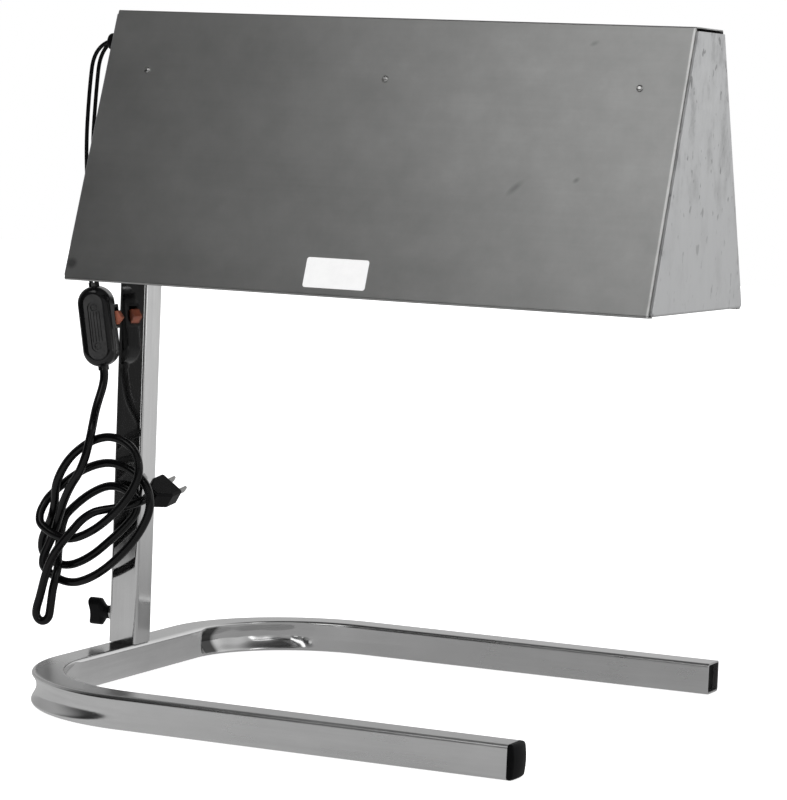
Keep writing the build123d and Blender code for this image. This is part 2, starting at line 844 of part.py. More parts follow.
def screw_base(place):
    """Screw base of a lamp: rounded threads, a button on top and a cup for the glass below."""
    ridge = base_thread / 2
    root = ridge - base_thread_depth
    first = thread_top - base_threads * base_thread_pitch
    with BuildPart() as base:
        with BuildSketch(lamp_section(place)):
            with BuildLine():
                Polyline(
                    (root, first),
                    (root, -base_skirt),
                    (lamp_neck / 2 + sheet_fit, -base_skirt),
                    (lamp_neck / 2 + sheet_fit, neck_top),
                    (0, neck_top),
                    (0, button_top),
                    (base_button / 2, button_top),
                    (root, thread_top),
                )
                for turn in range(base_threads):
                    low = first + turn * base_thread_pitch
                    middle = low + base_thread_pitch / 2
                    ThreePointArc((root, low), (ridge, middle), (root, low + base_thread_pitch))
            make_face()
        revolve(axis=lamp_axis(place))
    return base.part


def lamp_envelope(place):
    """Glass of a reflector lamp, open at the neck: straight throat, flare, belly and domed face."""
    neck = lamp_neck / 2
    throat = lamp_throat / 2
    belly = lamp_diameter / 2
    rim = lamp_rim / 2
    shoulder = -base_skirt - lamp_neck_drop
    face = button_top - lamp_length
    rim_height = face + lamp_dome
    dome_radius = (rim**2 + lamp_dome**2) / (2 * lamp_dome)
    dome_middle = face + dome_radius - math.sqrt(dome_radius**2 - (rim / 2) ** 2)
    with BuildPart() as glass:
        with BuildSketch(lamp_section(place)):
            with BuildLine():
                Line((neck, neck_top), (neck, -base_skirt))
                Line((neck, -base_skirt), (throat - lamp_throat_taper, shoulder))
                Line((throat - lamp_throat_taper, shoulder), (throat, -lamp_throat_drop))
                Spline(
                    (throat, -lamp_throat_drop),
                    ((throat + belly) / 2, -(lamp_throat_drop + lamp_belly_drop) / 2),
                    (belly, -lamp_belly_drop),
                    tangents=((lamp_throat_flare, -1), (0, -1)),
                )
                TangentArc((belly, -lamp_belly_drop), (rim, rim_height), tangent=(0, -1))
                ThreePointArc((rim, rim_height), (rim / 2, dome_middle), (0, face))
                Line((0, face), (0, neck_top))
                Line((0, neck_top), (neck, neck_top))
            make_face()
        revolve(axis=lamp_axis(place))
        offset(amount=-lamp_glass, openings=glass.faces().sort_by(Axis.Z)[-1])
    return glass.part


lamp_pieces = {
    "lampholder": lampholder,
    "socket_shell": screw_shell,
    "socket_contact": centre_contact,
    "lamp_base": screw_base,
    "lamp_glass": lamp_envelope,
}
for side, place in lamp_places.items():
    for piece, make in lamp_pieces.items():
        with BuildPart() as lamp_piece:
            add(make(place))
        lamp_piece.part.label = f"{piece}_{side}"
        export_step(lamp_piece.part, f"parts/{piece}_{side}.step")

holder_screw_length = channel_sheet + holder_flange_height + holder_nut_height + holder_screw_tail

with BuildPart(Plane(origin=(0, 0, web_height), x_dir=(1, 0, 0), z_dir=(0, 0, -1))) as lampholder_screws:
    with Locations(*[(place, 0) for place in lamp_places.values()]):
        with GridLocations(1, holder_screw_spacing, 1, 2):
            add(pan_screw(holder_screw_head, holder_screw_head_height, holder_screw, holder_screw_length))
lampholder_screws.part.label = "lampholder_screws"
export_step(lampholder_screws.part, "parts/lampholder_screws.step")

with BuildPart(Plane.XY.offset(web_top + holder_flange_height)) as lampholder_nuts:
    with Locations(*[(place, 0) for place in lamp_places.values()]):
        with GridLocations(1, holder_screw_spacing, 1, 2):
            add(hex_nut(holder_screw_head, holder_nut_height, holder_screw + 2 * thread_fit))
lampholder_nuts.part.label = "lampholder_nuts"
export_step(lampholder_nuts.part, "parts/lampholder_nuts.step")

terminal_planes = [
    Plane((place, side * holder_radius, web_top + terminal_rise), z_dir=(0, side, 0))
    for place in lamp_places.values()
    for side in (-1, 1)
]

with BuildPart(*terminal_planes) as terminal_screws:
    add(pan_screw(terminal_head, terminal_height, terminal_stem, terminal_stem_length))
terminal_screws.part.label = "terminal_screws"
export_step(terminal_screws.part, "parts/terminal_screws.step")

# Bushing and leads

with BuildPart() as lead_bushing:
    with BuildSketch(bushing_plane):
        Circle(bushing_flange / 2)
    extrude(amount=bushing_reach)
    fillet(lead_bushing.faces().sort_by(Axis.X)[0].edges(), bushing_edge)
    with BuildSketch(bushing_plane):
        Circle(bushing_hole / 2)
    extrude(amount=-end_sheet)
    with BuildSketch(bushing_plane.offset(-end_sheet)):
        Circle(bushing_flange / 2)
    extrude(amount=-bushing_inner)
lead_bushing.part.label = "lead_bushing"
export_step(lead_bushing.part, "parts/lead_bushing.step")


def bend_radii(points):
    """Radius at each inner point of a route, from a share of the shorter run and half the turn."""
    radii = []
    for before, here, after in zip(points, points[1:], points[2:]):
        run_in = Vector(*here) - Vector(*before)
        run_out = Vector(*after) - Vector(*here)
        half_turn = math.radians(run_in.get_angle(run_out) / 2)
        radii.append(bend_share * min(run_in.length, run_out.length) / math.tan(half_turn))
    return radii


def tube_along(name, points, diameter):
    """Round tube along straight runs and tangent arcs; prints its bend radii and its volume's fit."""
    radii = bend_radii(points)
    with BuildPart() as strand:
        with BuildLine() as route:
            FilletPolyline(*points, radius=radii)
        with BuildSketch(Plane(route.line @ 0, z_dir=route.line % 0)):
            Circle(diameter / 2)
        sweep(path=route.line)
    length = route.wire().length
    expected = math.pi * diameter**2 / 4 * length
    print(name, "bend radii", [round(radius, 1) for radius in radii], "length", round(length, 1))
    print(name, "volume over section times length", round(strand.part.volume / expected, 4))
    return strand.part


lead_level = web_top + terminal_rise
inner_face = hood_left + end_sheet + bushing_inner
lead_end = lamp_places["right"] + terminal_head
line_y = bushing_y - lead_spread / 2
neutral_y = bushing_y + lead_spread / 2
line_route = [
    (inner_face, line_y, bushing_z),
    (inner_face + lead_turn_in, line_y, bushing_z),
    (inner_face + 2 * lead_turn_in, -terminal_y, lead_level),
    (lead_end, -terminal_y, lead_level),
]
neutral_route = [
    (inner_face, neutral_y, bushing_z),
    (inner_face + lead_turn_in, neutral_y, bushing_z),
    (inner_face + 2 * lead_turn_in, terminal_y, lead_level),
    (lead_end, terminal_y, lead_level),
]

with BuildPart() as line_lead:
    add(tube_along("line_lead", line_route, lead))
line_lead.part.label = "line_lead"
export_step(line_lead.part, "parts/line_lead.step")

with BuildPart() as neutral_lead:
    add(tube_along("neutral_lead", neutral_route, lead))
neutral_lead.part.label = "neutral_lead"
export_step(neutral_lead.part, "parts/neutral_lead.step")

# Cord switch

turn = math.radians(switch_turn)
tip = math.radians(switch_lean)
switch_normal = Vector(math.sin(turn), -math.cos(turn), 0)
level_side = Vector(math.cos(turn), math.sin(turn), 0)
switch_side = level_side * math.cos(tip) + Vector(0, 0, math.sin(tip))
switch_up = Vector(0, 0, math.cos(tip)) - level_side * math.sin(tip)
switch_plane = Plane(origin=(switch_x, switch_y, switch_z), x_dir=switch_side, z_dir=switch_normal)
nib_base = switch_length / 2 - switch_edge
switch_top = Plane(switch_plane.from_local_coords((0, nib_base, 0)), x_dir=switch_side, z_dir=switch_up)
switch_foot = Plane(switch_plane.from_local_coords((0, -nib_base, 0)), x_dir=switch_side, z_dir=-switch_up)
rim_half = rocker_length / 2 + rocker_room + window_rim_wall
rim_depth = rocker_width / 2 + rocker_side_room + window_rim_wall
rim_face = switch_width / 2 + window_rim

with BuildPart() as switch_blank:
    with BuildSketch(switch_plane):
        SlotOverall(switch_length, switch_width, rotation=90)
    extrude(amount=switch_thickness / 2, both=True)
    fillet(switch_blank.faces().filter_by(switch_plane).edges(), switch_edge)
    with BuildSketch(switch_plane):
        with Locations((rim_face / 2, rocker_lift)):
            RectangleRounded(rim_face, 2 * rim_half, window_rim_edge)
    extrude(amount=rim_depth, both=True)
    with BuildSketch(switch_top):
        SlotOverall(switch_nib_width, switch_nib_height)
    extrude(amount=switch_edge + switch_nib)
    with BuildSketch(switch_foot):
        Circle(switch_nib_width / 2)
    extrude(amount=switch_edge + switch_nib)
    with BuildSketch(switch_plane):
        with Locations((rim_face, rocker_lift)):
            pocket = 2 * (rim_face - rocker_pivot + rocker_root / 2)
            Rectangle(pocket, rocker_length + 2 * rocker_room)
    extrude(amount=rocker_width / 2 + rocker_side_room, both=True, mode=Mode.SUBTRACT)
    with BuildSketch(switch_plane):
        with Locations((rocker_pivot, rocker_lift)):
            Circle(trunnion / 2 + trunnion_fit)
    extrude(amount=rocker_width / 2 + trunnion_length + 2 * trunnion_fit, both=True, mode=Mode.SUBTRACT)
    with BuildSketch(switch_plane.offset(switch_thickness / 2)):
        with GridLocations(1, well_spacing, 1, 2):
            Circle(switch_screw_shank / 2 + thread_fit)
    extrude(amount=-well_depth - switch_screw_length - thread_fit, mode=Mode.SUBTRACT)

with BuildPart() as switch_cover:
    add(switch_blank.part)
    split(bisect_by=switch_plane, keep=Keep.TOP)
    with BuildSketch(switch_plane.offset(switch_thickness / 2)):
        SlotOverall(groove_length, groove_width, rotation=90)
    extrude(amount=-groove_depth, mode=Mode.SUBTRACT)
    with BuildSketch(switch_plane.offset(switch_thickness / 2 - groove_depth)):
        with GridLocations(groove_width / rib_count, 1, rib_count, 1):
            Rectangle(rib_width, rib_length)
    extrude(amount=rib_height)
    with BuildSketch(switch_plane.offset(switch_thickness / 2)):
        with GridLocations(1, well_spacing, 1, 2):
            Circle(well_diameter / 2)
    extrude(amount=-well_depth, mode=Mode.SUBTRACT)
switch_cover.part.label = "switch_cover"
export_step(switch_cover.part, "parts/switch_cover.step")

with BuildPart() as switch_case:
    add(switch_blank.part)
    split(bisect_by=switch_plane, keep=Keep.BOTTOM)
switch_case.part.label = "switch_case"
export_step(switch_case.part, "parts/switch_case.step")

with BuildPart() as slotted_screw:
    with BuildSketch():
        Circle(switch_screw_head / 2)
    extrude(amount=switch_screw_head_height)
    with BuildSketch(Plane.XY.offset(switch_screw_head_height)):
        Rectangle(switch_screw_head, slot_width)
    extrude(amount=-slot_depth, mode=Mode.SUBTRACT)
    with BuildSketch():
        Circle(switch_screw_shank / 2)
    extrude(amount=-switch_screw_length)

with BuildPart(switch_plane.offset(switch_thickness / 2 - well_depth)) as switch_screws:
    with GridLocations(1, well_spacing, 1, 2):
        add(slotted_screw.part)
switch_screws.part.label = "switch_screws"
export_step(switch_screws.part, "parts/switch_screws.step")

tilt = math.radians(rocker_tilt)
rocker_plane = Plane(
    switch_plane.from_local_coords((rocker_pivot, rocker_lift, 0)),
    x_dir=switch_side * math.cos(tilt) - switch_up * math.sin(tilt),
    z_dir=switch_normal,
)
peak = rim_face + rocker_peak - rocker_pivot - window_rim
shoulder = rim_face + rocker_shoulder - rocker_pivot

with BuildPart() as switch_rocker:
    with BuildSketch(rocker_plane):
        with BuildLine():
            Polyline(
                (-rocker_root / 4, -rocker_length / 4),
                (shoulder, -rocker_length / 2),
                (peak, 0),
                (shoulder, rocker_length / 2),
                (-rocker_root / 4, rocker_length / 4),
                close=True,
            )
        make_face()
    extrude(amount=rocker_width / 2, both=True)
    with BuildSketch(rocker_plane):
        Circle(trunnion / 2)
    extrude(amount=rocker_width / 2 + trunnion_length, both=True)
switch_rocker.part.label = "switch_rocker"
export_step(switch_rocker.part, "parts/switch_rocker.step")

# Leads from the bushing to the switch

lead_exit = hood_left - bushing_reach
nib_top = switch_edge + switch_nib
entry_outer = switch_top.from_local_coords((-lead_spread / 2, 0, nib_top))
entry_inner = switch_top.from_local_coords((lead_spread / 2, 0, nib_top))
outer_lead_route = [
    (lead_exit, line_y, bushing_z),
    *[(x, y, bushing_z - drop) for x, y, drop in outer_lead_bends],
    tuple(entry_outer + switch_up * lead_straight),
    tuple(entry_outer),
]
inner_lead_route = [
    (lead_exit, neutral_y, bushing_z),
    *[(x, y, bushing_z - drop) for x, y, drop in inner_lead_bends],
    tuple(entry_inner + switch_up * lead_straight),
    tuple(entry_inner),
]

with BuildPart() as switch_lead_outer:
    add(tube_along("switch_lead_outer", outer_lead_route, lead))
switch_lead_outer.part.label = "switch_lead_outer"
export_step(switch_lead_outer.part, "parts/switch_lead_outer.step")

with BuildPart() as switch_lead_inner:
    add(tube_along("switch_lead_inner", inner_lead_route, lead))
switch_lead_inner.part.label = "switch_lead_inner"
export_step(switch_lead_inner.part, "parts/switch_lead_inner.step")

# Plug

plug_axis = Vector(*plug_way).normalized()
plug_normal = Vector(*plug_across).cross(plug_axis).normalized()
plug_plane = Plane(origin=plug_centre, x_dir=plug_axis.cross(plug_normal), z_dir=plug_normal)
plug_half = plug_width / 2
plug_outline = [
    (plug_tail / 2, -plug_back),
    (plug_half, -plug_shoulder),
    (plug_half, plug_front - plug_bevel),
    (plug_half - plug_bevel, plug_front),
]
neck_plane = Plane(plug_plane.from_local_coords((0, -plug_shoulder, 0)), x_dir=plug_normal, z_dir=-plug_axis)
neck_length = plug_back - plug_shoulder + plug_neck_reach
blade_plane = Plane(plug_plane.from_local_coords((0, plug_front, 0)), x_dir=plug_plane.x_dir, z_dir=plug_axis)

with BuildPart() as plug_body:
    with BuildSketch(plug_plane.offset(-plug_thickness / 2)):
        Polygon(*plug_outline, *[(-across, along) for across, along in reversed(plug_outline)], align=None)
    extrude(amount=plug_thickness)
    fillet(plug_body.faces().filter_by(plug_plane).edges(), plug_edge)
    with BuildSketch(neck_plane):
        Circle(plug_neck / 2)
    extrude(amount=neck_length)
plug_body.part.label = "plug_body"
export_step(plug_body.part, "parts/plug_body.step")

with BuildPart() as plug_blades:
    with BuildSketch(blade_plane):
        with GridLocations(blade_spacing, 1, 2, 1):
            Rectangle(blade_thickness, blade_width)
    extrude(amount=blade_length)
    tip_edges = plug_blades.edges().group_by(Axis(blade_plane.origin, plug_axis))[-1]
    chamfer(tip_edges.filter_by(Axis(blade_plane.origin, plug_plane.x_dir)), blade_tip)
plug_blades.part.label = "plug_blades"
export_step(plug_blades.part, "parts/plug_blades.step")

# Cord from the switch, its hank of loops, and the last stretch to the plug


def loop_knots(loop):
    """Points and directions of travel at the four quarters of one loop, left end first."""
    quarters = []
    for quarter, (reach, shift, depth) in loop.items():
        angle = math.radians(hank_tilt + quarter_turns[quarter])
        outward = Vector(math.cos(angle), 0, math.sin(angle))
        onward = Vector(-math.sin(angle), 0, math.cos(angle))
        quarters.append((Vector(hank_x, depth, hank_z) + outward * reach + onward * shift, onward))
    return quarters


def places(stretch):
    """Points and unit directions of travel of one stretch of the hank."""
    return [(Vector(*point), Vector(*way).normalized()) for point, way in stretch]


def biarc(start, start_way, end, end_way):
    """Start, end and first direction of the two tangent arcs between two points with directions."""
    chord = end - start
    ways = start_way + end_way
    spread = 2 * (1 - start_way.dot(end_way))
    reach = chord.dot(ways)
    handle = (math.sqrt(reach**2 + spread * chord.dot(chord)) - reach) / spread
    joint = (start + end + (start_way - end_way) * handle) / 2
    joint_way = (end - end_way * handle - start - start_way * handle).normalized()
    return (start, joint, start_way), (joint, end, joint_way)


cord_exit = switch_foot.from_local_coords((0, 0, switch_edge + switch_nib))
hank_entry = Vector(*hank_start)
power_route = [tuple(cord_exit), tuple(cord_exit - switch_up * cord_straight), *cord_bends, hank_start]
entry_way = (hank_entry - Vector(*power_route[-2])).normalized()

with BuildPart() as power_cord:
    add(tube_along("power_cord", power_route, cord))
power_cord.part.label = "power_cord"
export_step(power_cord.part, "parts/power_cord.step")

plug_entry = neck_plane.from_local_coords((0, 0, neck_length))
first_loop, second_loop, third_loop = [loop_knots(loop) for loop in hank_loops]
knots = [
    (hank_entry + entry_way * cord, entry_way),
    *places(hank_way_in),
    *first_loop,
    *second_loop,
    *places(hank_tuck),
    *third_loop,
    *places(hanging_bight),
    *places(hank_way_out),
    (plug_entry - plug_axis * plug_lead, plug_axis),
]

with BuildPart() as cord_hank:
    with BuildLine() as hank_line:
        Line(hank_entry, knots[0][0])
        for (start, start_way), (end, end_way) in zip(knots, knots[1:]):
            for arc_start, arc_end, arc_way in biarc(start, start_way, end, end_way):
                TangentArc(arc_start, arc_end, tangent=arc_way)
        Line(knots[-1][0], plug_entry)
    with BuildSketch(Plane(hank_entry, z_dir=entry_way)):
        Circle(cord / 2)
    sweep(path=hank_line.line)
cord_hank.part.label = "cord_hank"
export_step(cord_hank.part, "parts/cord_hank.step")


def least_gap(line, diameter, samples):
    """Least gap between a tube's surface and itself, measured on points along its centre line."""
    length = line.length
    points = [line.position_at(place / samples) for place in range(samples + 1)]
    apart = math.ceil(hank_neighbours * diameter / length * samples)
    gaps = [
        (points[low] - points[high]).length - diameter
        for low in range(samples + 1 - apart)
        for high in range(low + apart, samples + 1)
    ]
    return min(gaps)


hank_length = hank_line.wire().length
hank_gap = least_gap(hank_line.wire(), cord, hank_samples)
hank_volume = math.pi * cord**2 / 4 * hank_length
print("cord_hank length", round(hank_length, 1), "least gap", round(hank_gap, 2))
print("cord_hank volume over section times length", round(cord_hank.part.volume / hank_volume, 4))
print("hank clear of itself:", hank_gap > hank_gap_least)
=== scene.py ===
"""Heat lamp food warmer: the finishes, cords, bent tube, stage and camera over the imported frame.

Metres. The origin is on the floor under the post's axis, +X runs along the legs and the hood, +Y points
to the rear and +Z points up.
"""

import math

import bpy
import numpy as np
from bpy.props import FloatProperty, FloatVectorProperty, IntProperty, PointerProperty
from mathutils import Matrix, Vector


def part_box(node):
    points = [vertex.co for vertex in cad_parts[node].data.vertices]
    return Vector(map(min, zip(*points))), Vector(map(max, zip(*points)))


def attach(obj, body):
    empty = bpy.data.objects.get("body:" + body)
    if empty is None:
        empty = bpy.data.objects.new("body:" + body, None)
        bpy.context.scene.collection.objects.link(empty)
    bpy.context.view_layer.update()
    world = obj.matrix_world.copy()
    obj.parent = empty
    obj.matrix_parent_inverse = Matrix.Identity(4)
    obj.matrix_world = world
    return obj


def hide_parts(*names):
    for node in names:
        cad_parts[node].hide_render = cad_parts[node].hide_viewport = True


bl_info = {
    "name": "Heat Lamp Food Warmer",
    "version": (1, 0, 0),
    "blender": (4, 5, 0),
    "location": "3D View > Sidebar > Food Warmer",
    "description": "Dresses the packed food warmer with finishes, cords, stage and camera",
    "category": "Object",
}

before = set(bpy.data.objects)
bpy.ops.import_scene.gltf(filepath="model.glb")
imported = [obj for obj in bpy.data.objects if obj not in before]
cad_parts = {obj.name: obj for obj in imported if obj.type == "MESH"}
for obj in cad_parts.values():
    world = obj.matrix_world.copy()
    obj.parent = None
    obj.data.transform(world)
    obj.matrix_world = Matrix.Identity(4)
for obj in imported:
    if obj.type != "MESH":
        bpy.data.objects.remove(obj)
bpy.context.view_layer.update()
base_low, base_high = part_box("base_frame")
hood_low, hood_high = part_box("hood_shell")

# Width of the hood's flat top, and the lean of its front panel from upright
HOOD_TOP = 0.058
HOOD_LEAN = math.atan2((hood_high.y - hood_low.y - HOOD_TOP) / 2, hood_high.z - hood_low.z)


# Sizes and colours that a user would change


class TubeSizes(bpy.types.PropertyGroup):
    """Sizes of the bent square tube."""

    side: FloatProperty(
        name="Side",
        description="Width and height of the square tube",
        default=base_high.z - base_low.z,
        unit="LENGTH",
    )
    wall: FloatProperty(
        name="Wall", description="Thickness of the tube's wall", default=0.0015, unit="LENGTH"
    )
    corner: FloatProperty(
        name="Corner", description="Outer radius of the tube's long edges", default=0.003, unit="LENGTH"
    )
    bend: FloatProperty(
        name="Bend",
        description="Radius of the two bends on the tube's middle line",
        default=0.1143,
        unit="LENGTH",
    )
    outer_dent: FloatProperty(
        name="Outer dent",
        description="Depth of the hollow in each bend's outer wall",
        default=0.0045,
        unit="LENGTH",
    )
    inner_dent: FloatProperty(
        name="Inner dent",
        description="Depth of the hollow in each bend's inner wall",
        default=0.0070,
        unit="LENGTH",
    )
    crease: FloatProperty(
        name="Crease", description="Softness of the edges of the dents", default=0.0006, unit="LENGTH"
    )


class CordSizes(bpy.types.PropertyGroup):
    """Sizes of the cord and the leads."""

    cord: FloatProperty(name="Cord", description="Diameter of the power cord", default=0.0068, unit="LENGTH")
    lead: FloatProperty(name="Lead", description="Diameter of a single lead", default=0.0032, unit="LENGTH")
    turn_points: IntProperty(
        name="Points", description="Points for each quarter of a loop of the hank", default=3, min=3, max=8
    )


class Finishes(bpy.types.PropertyGroup):
    """Colours of the finishes."""

    sheet: FloatVectorProperty(
        name="Hood sheet",
        description="Colour of the mill-finish sheet",
        subtype="COLOR",
        default=(0.50, 0.502, 0.495),
    )
    tube: FloatVectorProperty(
        name="Tube", description="Colour of the polished tube", subtype="COLOR", default=(0.74, 0.74, 0.74)
    )
    rubber: FloatVectorProperty(
        name="Rubber",
        description="Colour of the cord's jacket",
        subtype="COLOR",
        default=(0.0018, 0.0018, 0.002),
    )
    moulding: FloatVectorProperty(
        name="Moulding",
        description="Colour of the black mouldings",
        subtype="COLOR",
        default=(0.0025, 0.0025, 0.0028),
    )
    rocker: FloatVectorProperty(
        name="Rocker",
        description="Colour of the switch's rocker",
        subtype="COLOR",
        default=(0.56, 0.16, 0.085),
    )
    label: FloatVectorProperty(
        name="Label", description="Colour of the blank label", subtype="COLOR", default=(0.94, 0.94, 0.93)
    )


class StageSizes(bpy.types.PropertyGroup):
    """Camera, floor and light."""

    lens: FloatProperty(
        name="Lens", description="Focal length on a 36 mm wide sensor", default=149.502, unit="CAMERA"
    )
    place: FloatVectorProperty(
        name="Camera",
        description="Place of the camera",
        subtype="TRANSLATION",
        default=(1.28363, -2.29056, 0.45501),
    )
    turn: FloatVectorProperty(
        name="Turn",
        description="Turn of the camera",
        subtype="EULER",
        default=(1.472482, -0.042625, 0.415257),
    )
    shift: FloatVectorProperty(
        name="Shift", description="Shift of the frame, in frame widths", size=2, default=(-0.08664, 0.05517)
    )
    floor: FloatProperty(name="Floor", description="Width of the floor", default=14.0, unit="LENGTH")
    key: FloatProperty(name="Key", description="Power of the key light", default=5.0, unit="POWER")
    fill: FloatProperty(name="Fill", description="Power of the fill light", default=3.0, unit="POWER")
    card: FloatProperty(
        name="Card", description="Power that the reflecting cards take shares of", default=0.55, unit="POWER"
    )


# Node helpers


def node(tree, kind, sockets=None, **settings):
    """New shader node: settings are its properties, and sockets maps inputs to values or to other outputs."""
    made = tree.nodes.new(kind)
    for key, value in settings.items():
        setattr(made, key, value)
    for key, value in (sockets or {}).items():
        if isinstance(value, bpy.types.NodeSocket):
            tree.links.new(value, made.inputs[key])
        else:
            made.inputs[key].default_value = value
    return made


def finish(name, **sockets):
    """New material with a Principled shader; underscores in a socket's name stand for spaces."""
    material = bpy.data.materials.new(name)
    material.use_nodes = True
    shader = material.node_tree.nodes["Principled BSDF"]
    for key, value in sockets.items():
        shader.inputs[key.replace("_", " ")].default_value = value
    return material, material.node_tree, shader


def feed(tree, shader, **sockets):
    """Links outputs to the shader's sockets; underscores in a socket's name stand for spaces."""
    for key, value in sockets.items():
        tree.links.new(value, shader.inputs[key.replace("_", " ")])


def position(tree):
    """Place of the shaded point in object coordinates, in metres."""
    return node(tree, "ShaderNodeTexCoord").outputs["Object"]


def noise(tree, scale, stretch=(1, 1, 1), detail=3.0, roughness=0.55, turn=(0, 0, 0)):
    """Noise over object coordinates in metres; a stretch under 1 draws it out along that axis."""
    mapped = node(tree, "ShaderNodeMapping", {"Vector": position(tree), "Scale": stretch, "Rotation": turn})
    sockets = {"Vector": mapped.outputs["Vector"], "Scale": scale, "Detail": detail, "Roughness": roughness}
    return node(tree, "ShaderNodeTexNoise", sockets).outputs["Fac"]


def span(tree, value, low, high, to_low=0.0, to_high=1.0):
    """Value carried from one span of numbers to another, held at the ends."""
    sockets = {"Value": value, "From Min": low, "From Max": high, "To Min": to_low, "To Max": to_high}
    return node(tree, "ShaderNodeMapRange", sockets).outputs["Result"]


def vary(tree, pattern, low, high):
    """A noise's usual span of values carried to the span from low to high."""
    return span(tree, pattern, 0.3, 0.7, low, high)


def math_node(tree, operation, first, second):
    """Sum, product or other operation on two values."""
    made = node(tree, "ShaderNodeMath", {0: first, 1: second}, operation=operation)
    return made.outputs["Value"]


def total(tree, value, *others):
    """Sum of values."""
    for other in others:
        value = math_node(tree, "ADD", value, other)
    return value


def product(tree, value, *others):
    """Product of values."""
    for other in others:
        value = math_node(tree, "MULTIPLY", value, other)
    return value


def tint(tree, value, *stops):
    """Colour from a value through (place, (r, g, b)) stops."""
    ramp = node(tree, "ShaderNodeValToRGB", {"Fac": value})
    first, last = ramp.color_ramp.elements
    first.position, first.color = stops[0][0], (*stops[0][1], 1)
    last.position, last.color = stops[-1][0], (*stops[-1][1], 1)
    for place, colour in stops[1:-1]:
        ramp.color_ramp.elements.new(place).color = (*colour, 1)
    return ramp.outputs["Color"]


def along(tree, way, place=None):
    """Distance of a place along a direction from the origin; with no place given, of the shaded point."""
    sockets = {0: position(tree) if place is None else place, 1: way}
    return node(tree, "ShaderNodeVectorMath", sockets, operation="DOT_PRODUCT").outputs["Value"]


def bump(tree, shader, height, distance):
    """Relief from a height, in metres, on the shader's normal."""
    sockets = {"Height": height, "Distance": distance}
    feed(tree, shader, Normal=node(tree, "ShaderNodeBump", sockets).outputs["Normal"])


def grey(value):
    """Neutral colour of one value."""
    return (value, value, value)


def shades(colour, *shares):
    """Darker and lighter shades of a colour, as shares of it."""
    return [tuple(part * share for part in colour) for share in shares]


def spot(tree, centre, size, turn):
    """1 at centre, falling to 0 at the edge of an ellipse in the XZ plane, turned about Y."""
    away = node(tree, "ShaderNodeVectorMath", {0: position(tree), 1: centre}, operation="SUBTRACT")
    sockets = {"Vector": away.outputs["Vector"], "Angle": turn}
    turned = node(tree, "ShaderNodeVectorRotate", sockets, rotation_type="Y_AXIS").outputs["Vector"]
    scale = (1 / size[0], 0, 1 / size[1])
    scaled = node(tree, "ShaderNodeVectorMath", {0: turned, 1: scale}, operation="MULTIPLY").outputs["Vector"]
    length = node(tree, "ShaderNodeVectorMath", {0: scaled}, operation="LENGTH").outputs["Value"]
    return span(tree, length, 0.2, 1.0, 1.0, 0.0)


def mixed(tree, share, first, second):
    """One shader where the share is 0 and the other where it is 1."""
    return node(tree, "ShaderNodeMixShader", {0: share, 1: first, 2: second}).outputs["Shader"]


# Finishes

# Smudges on the hood's sheet: place, half sizes, turn and how much darker
SMUDGES = (
    ((0.3500, 0, 0.4078), (0.0095, 0.0032), 0.75, 0.8),
    ((0.3972, 0, 0.4156), (0.0035, 0.0022), 0.60, 0.9),
    ((0.3930, 0, 0.5160), (0.0045, 0.0022), 0.40, 0.5),
    ((-0.0080, 0, 0.3330), (0.0060, 0.0050), 0.00, 1.2),
)


def mill_sheet(colour):
    """Dull mill-finish sheet: fine level grain, cloudy handling marks, a few scuffs and smudges.

    It has painted shade at its left end and is darker towards its foot. At its right edge a painted
    highlight runs beside a thin line of painted shade.
    """
    material, tree, shader = finish("mill_sheet", Metallic=1.0)
    grain = noise(tree, 300.0, (0.02, 1, 1), 2.0)
    cloud = noise(tree, 9.0, (0.7, 1, 1), 4.0, 0.6)
    blotch = noise(tree, 34.0, (1, 1, 1), 5.0, 0.65)
    from_left, height = along(tree, (1, 0, 0)), along(tree, (0, 0, 1))
    # Painted shade darkens the left end; the sheet is also darker towards its foot
    painted_shade_left_end = span(tree, from_left, hood_low.x, hood_low.x + 0.20, -0.20, 0.0)
    darker_foot = span(tree, height, hood_low.z, hood_low.z + 0.14, -0.16, 0.0)
    clouds = vary(tree, cloud, -0.14, 0.14), vary(tree, blotch, -0.11, 0.11), vary(tree, grain, -0.02, 0.02)
    tone = total(tree, *clouds, painted_shade_left_end, darker_foot)
    patchy = span(tree, blotch, 0.35, 0.6, 0.4, 1.0)
    for centre, size, turn, depth in SMUDGES:
        tone = total(tree, tone, product(tree, spot(tree, centre, size, turn), patchy, -depth))
    edge = math_node(tree, "SUBTRACT", hood_high.x, from_left)
    # Painted highlight: a bright strip beside the right edge, made patchy by the blotches
    painted_edge_highlight = span(tree, edge, 0.0014, 0.0026, 1.6, 0.0)
    painted_edge_highlight = product(tree, painted_edge_highlight, span(tree, blotch, 0.35, 0.6, 0.5, 1.0))
    # Painted shade: a thin dark line in the gap at the right edge
    seam = span(tree, edge, 0.0003, 0.0008, -1.5, 0.0)
    tone = span(tree, total(tree, tone, painted_edge_highlight, seam), -1.0, 1.0)
    darkest, middle, lightest = shades(colour, 0.45, 1.0, 1.75)
    scuff = noise(tree, 70.0, (0.25, 1, 1), 4.0, 0.7, (0, 0.5, 0))
    rough = total(tree, vary(tree, cloud, 0.42, 0.45), span(tree, scuff, 0.62, 0.75, 0.0, 0.04))
    sheet = tint(tree, tone, (0.0, darkest), (0.5, middle), (1.0, lightest))
    feed(tree, shader, Base_Color=sheet, Roughness=rough)
    bump(tree, shader, total(tree, grain, product(tree, cloud, 4.0)), 0.00001)
    return material


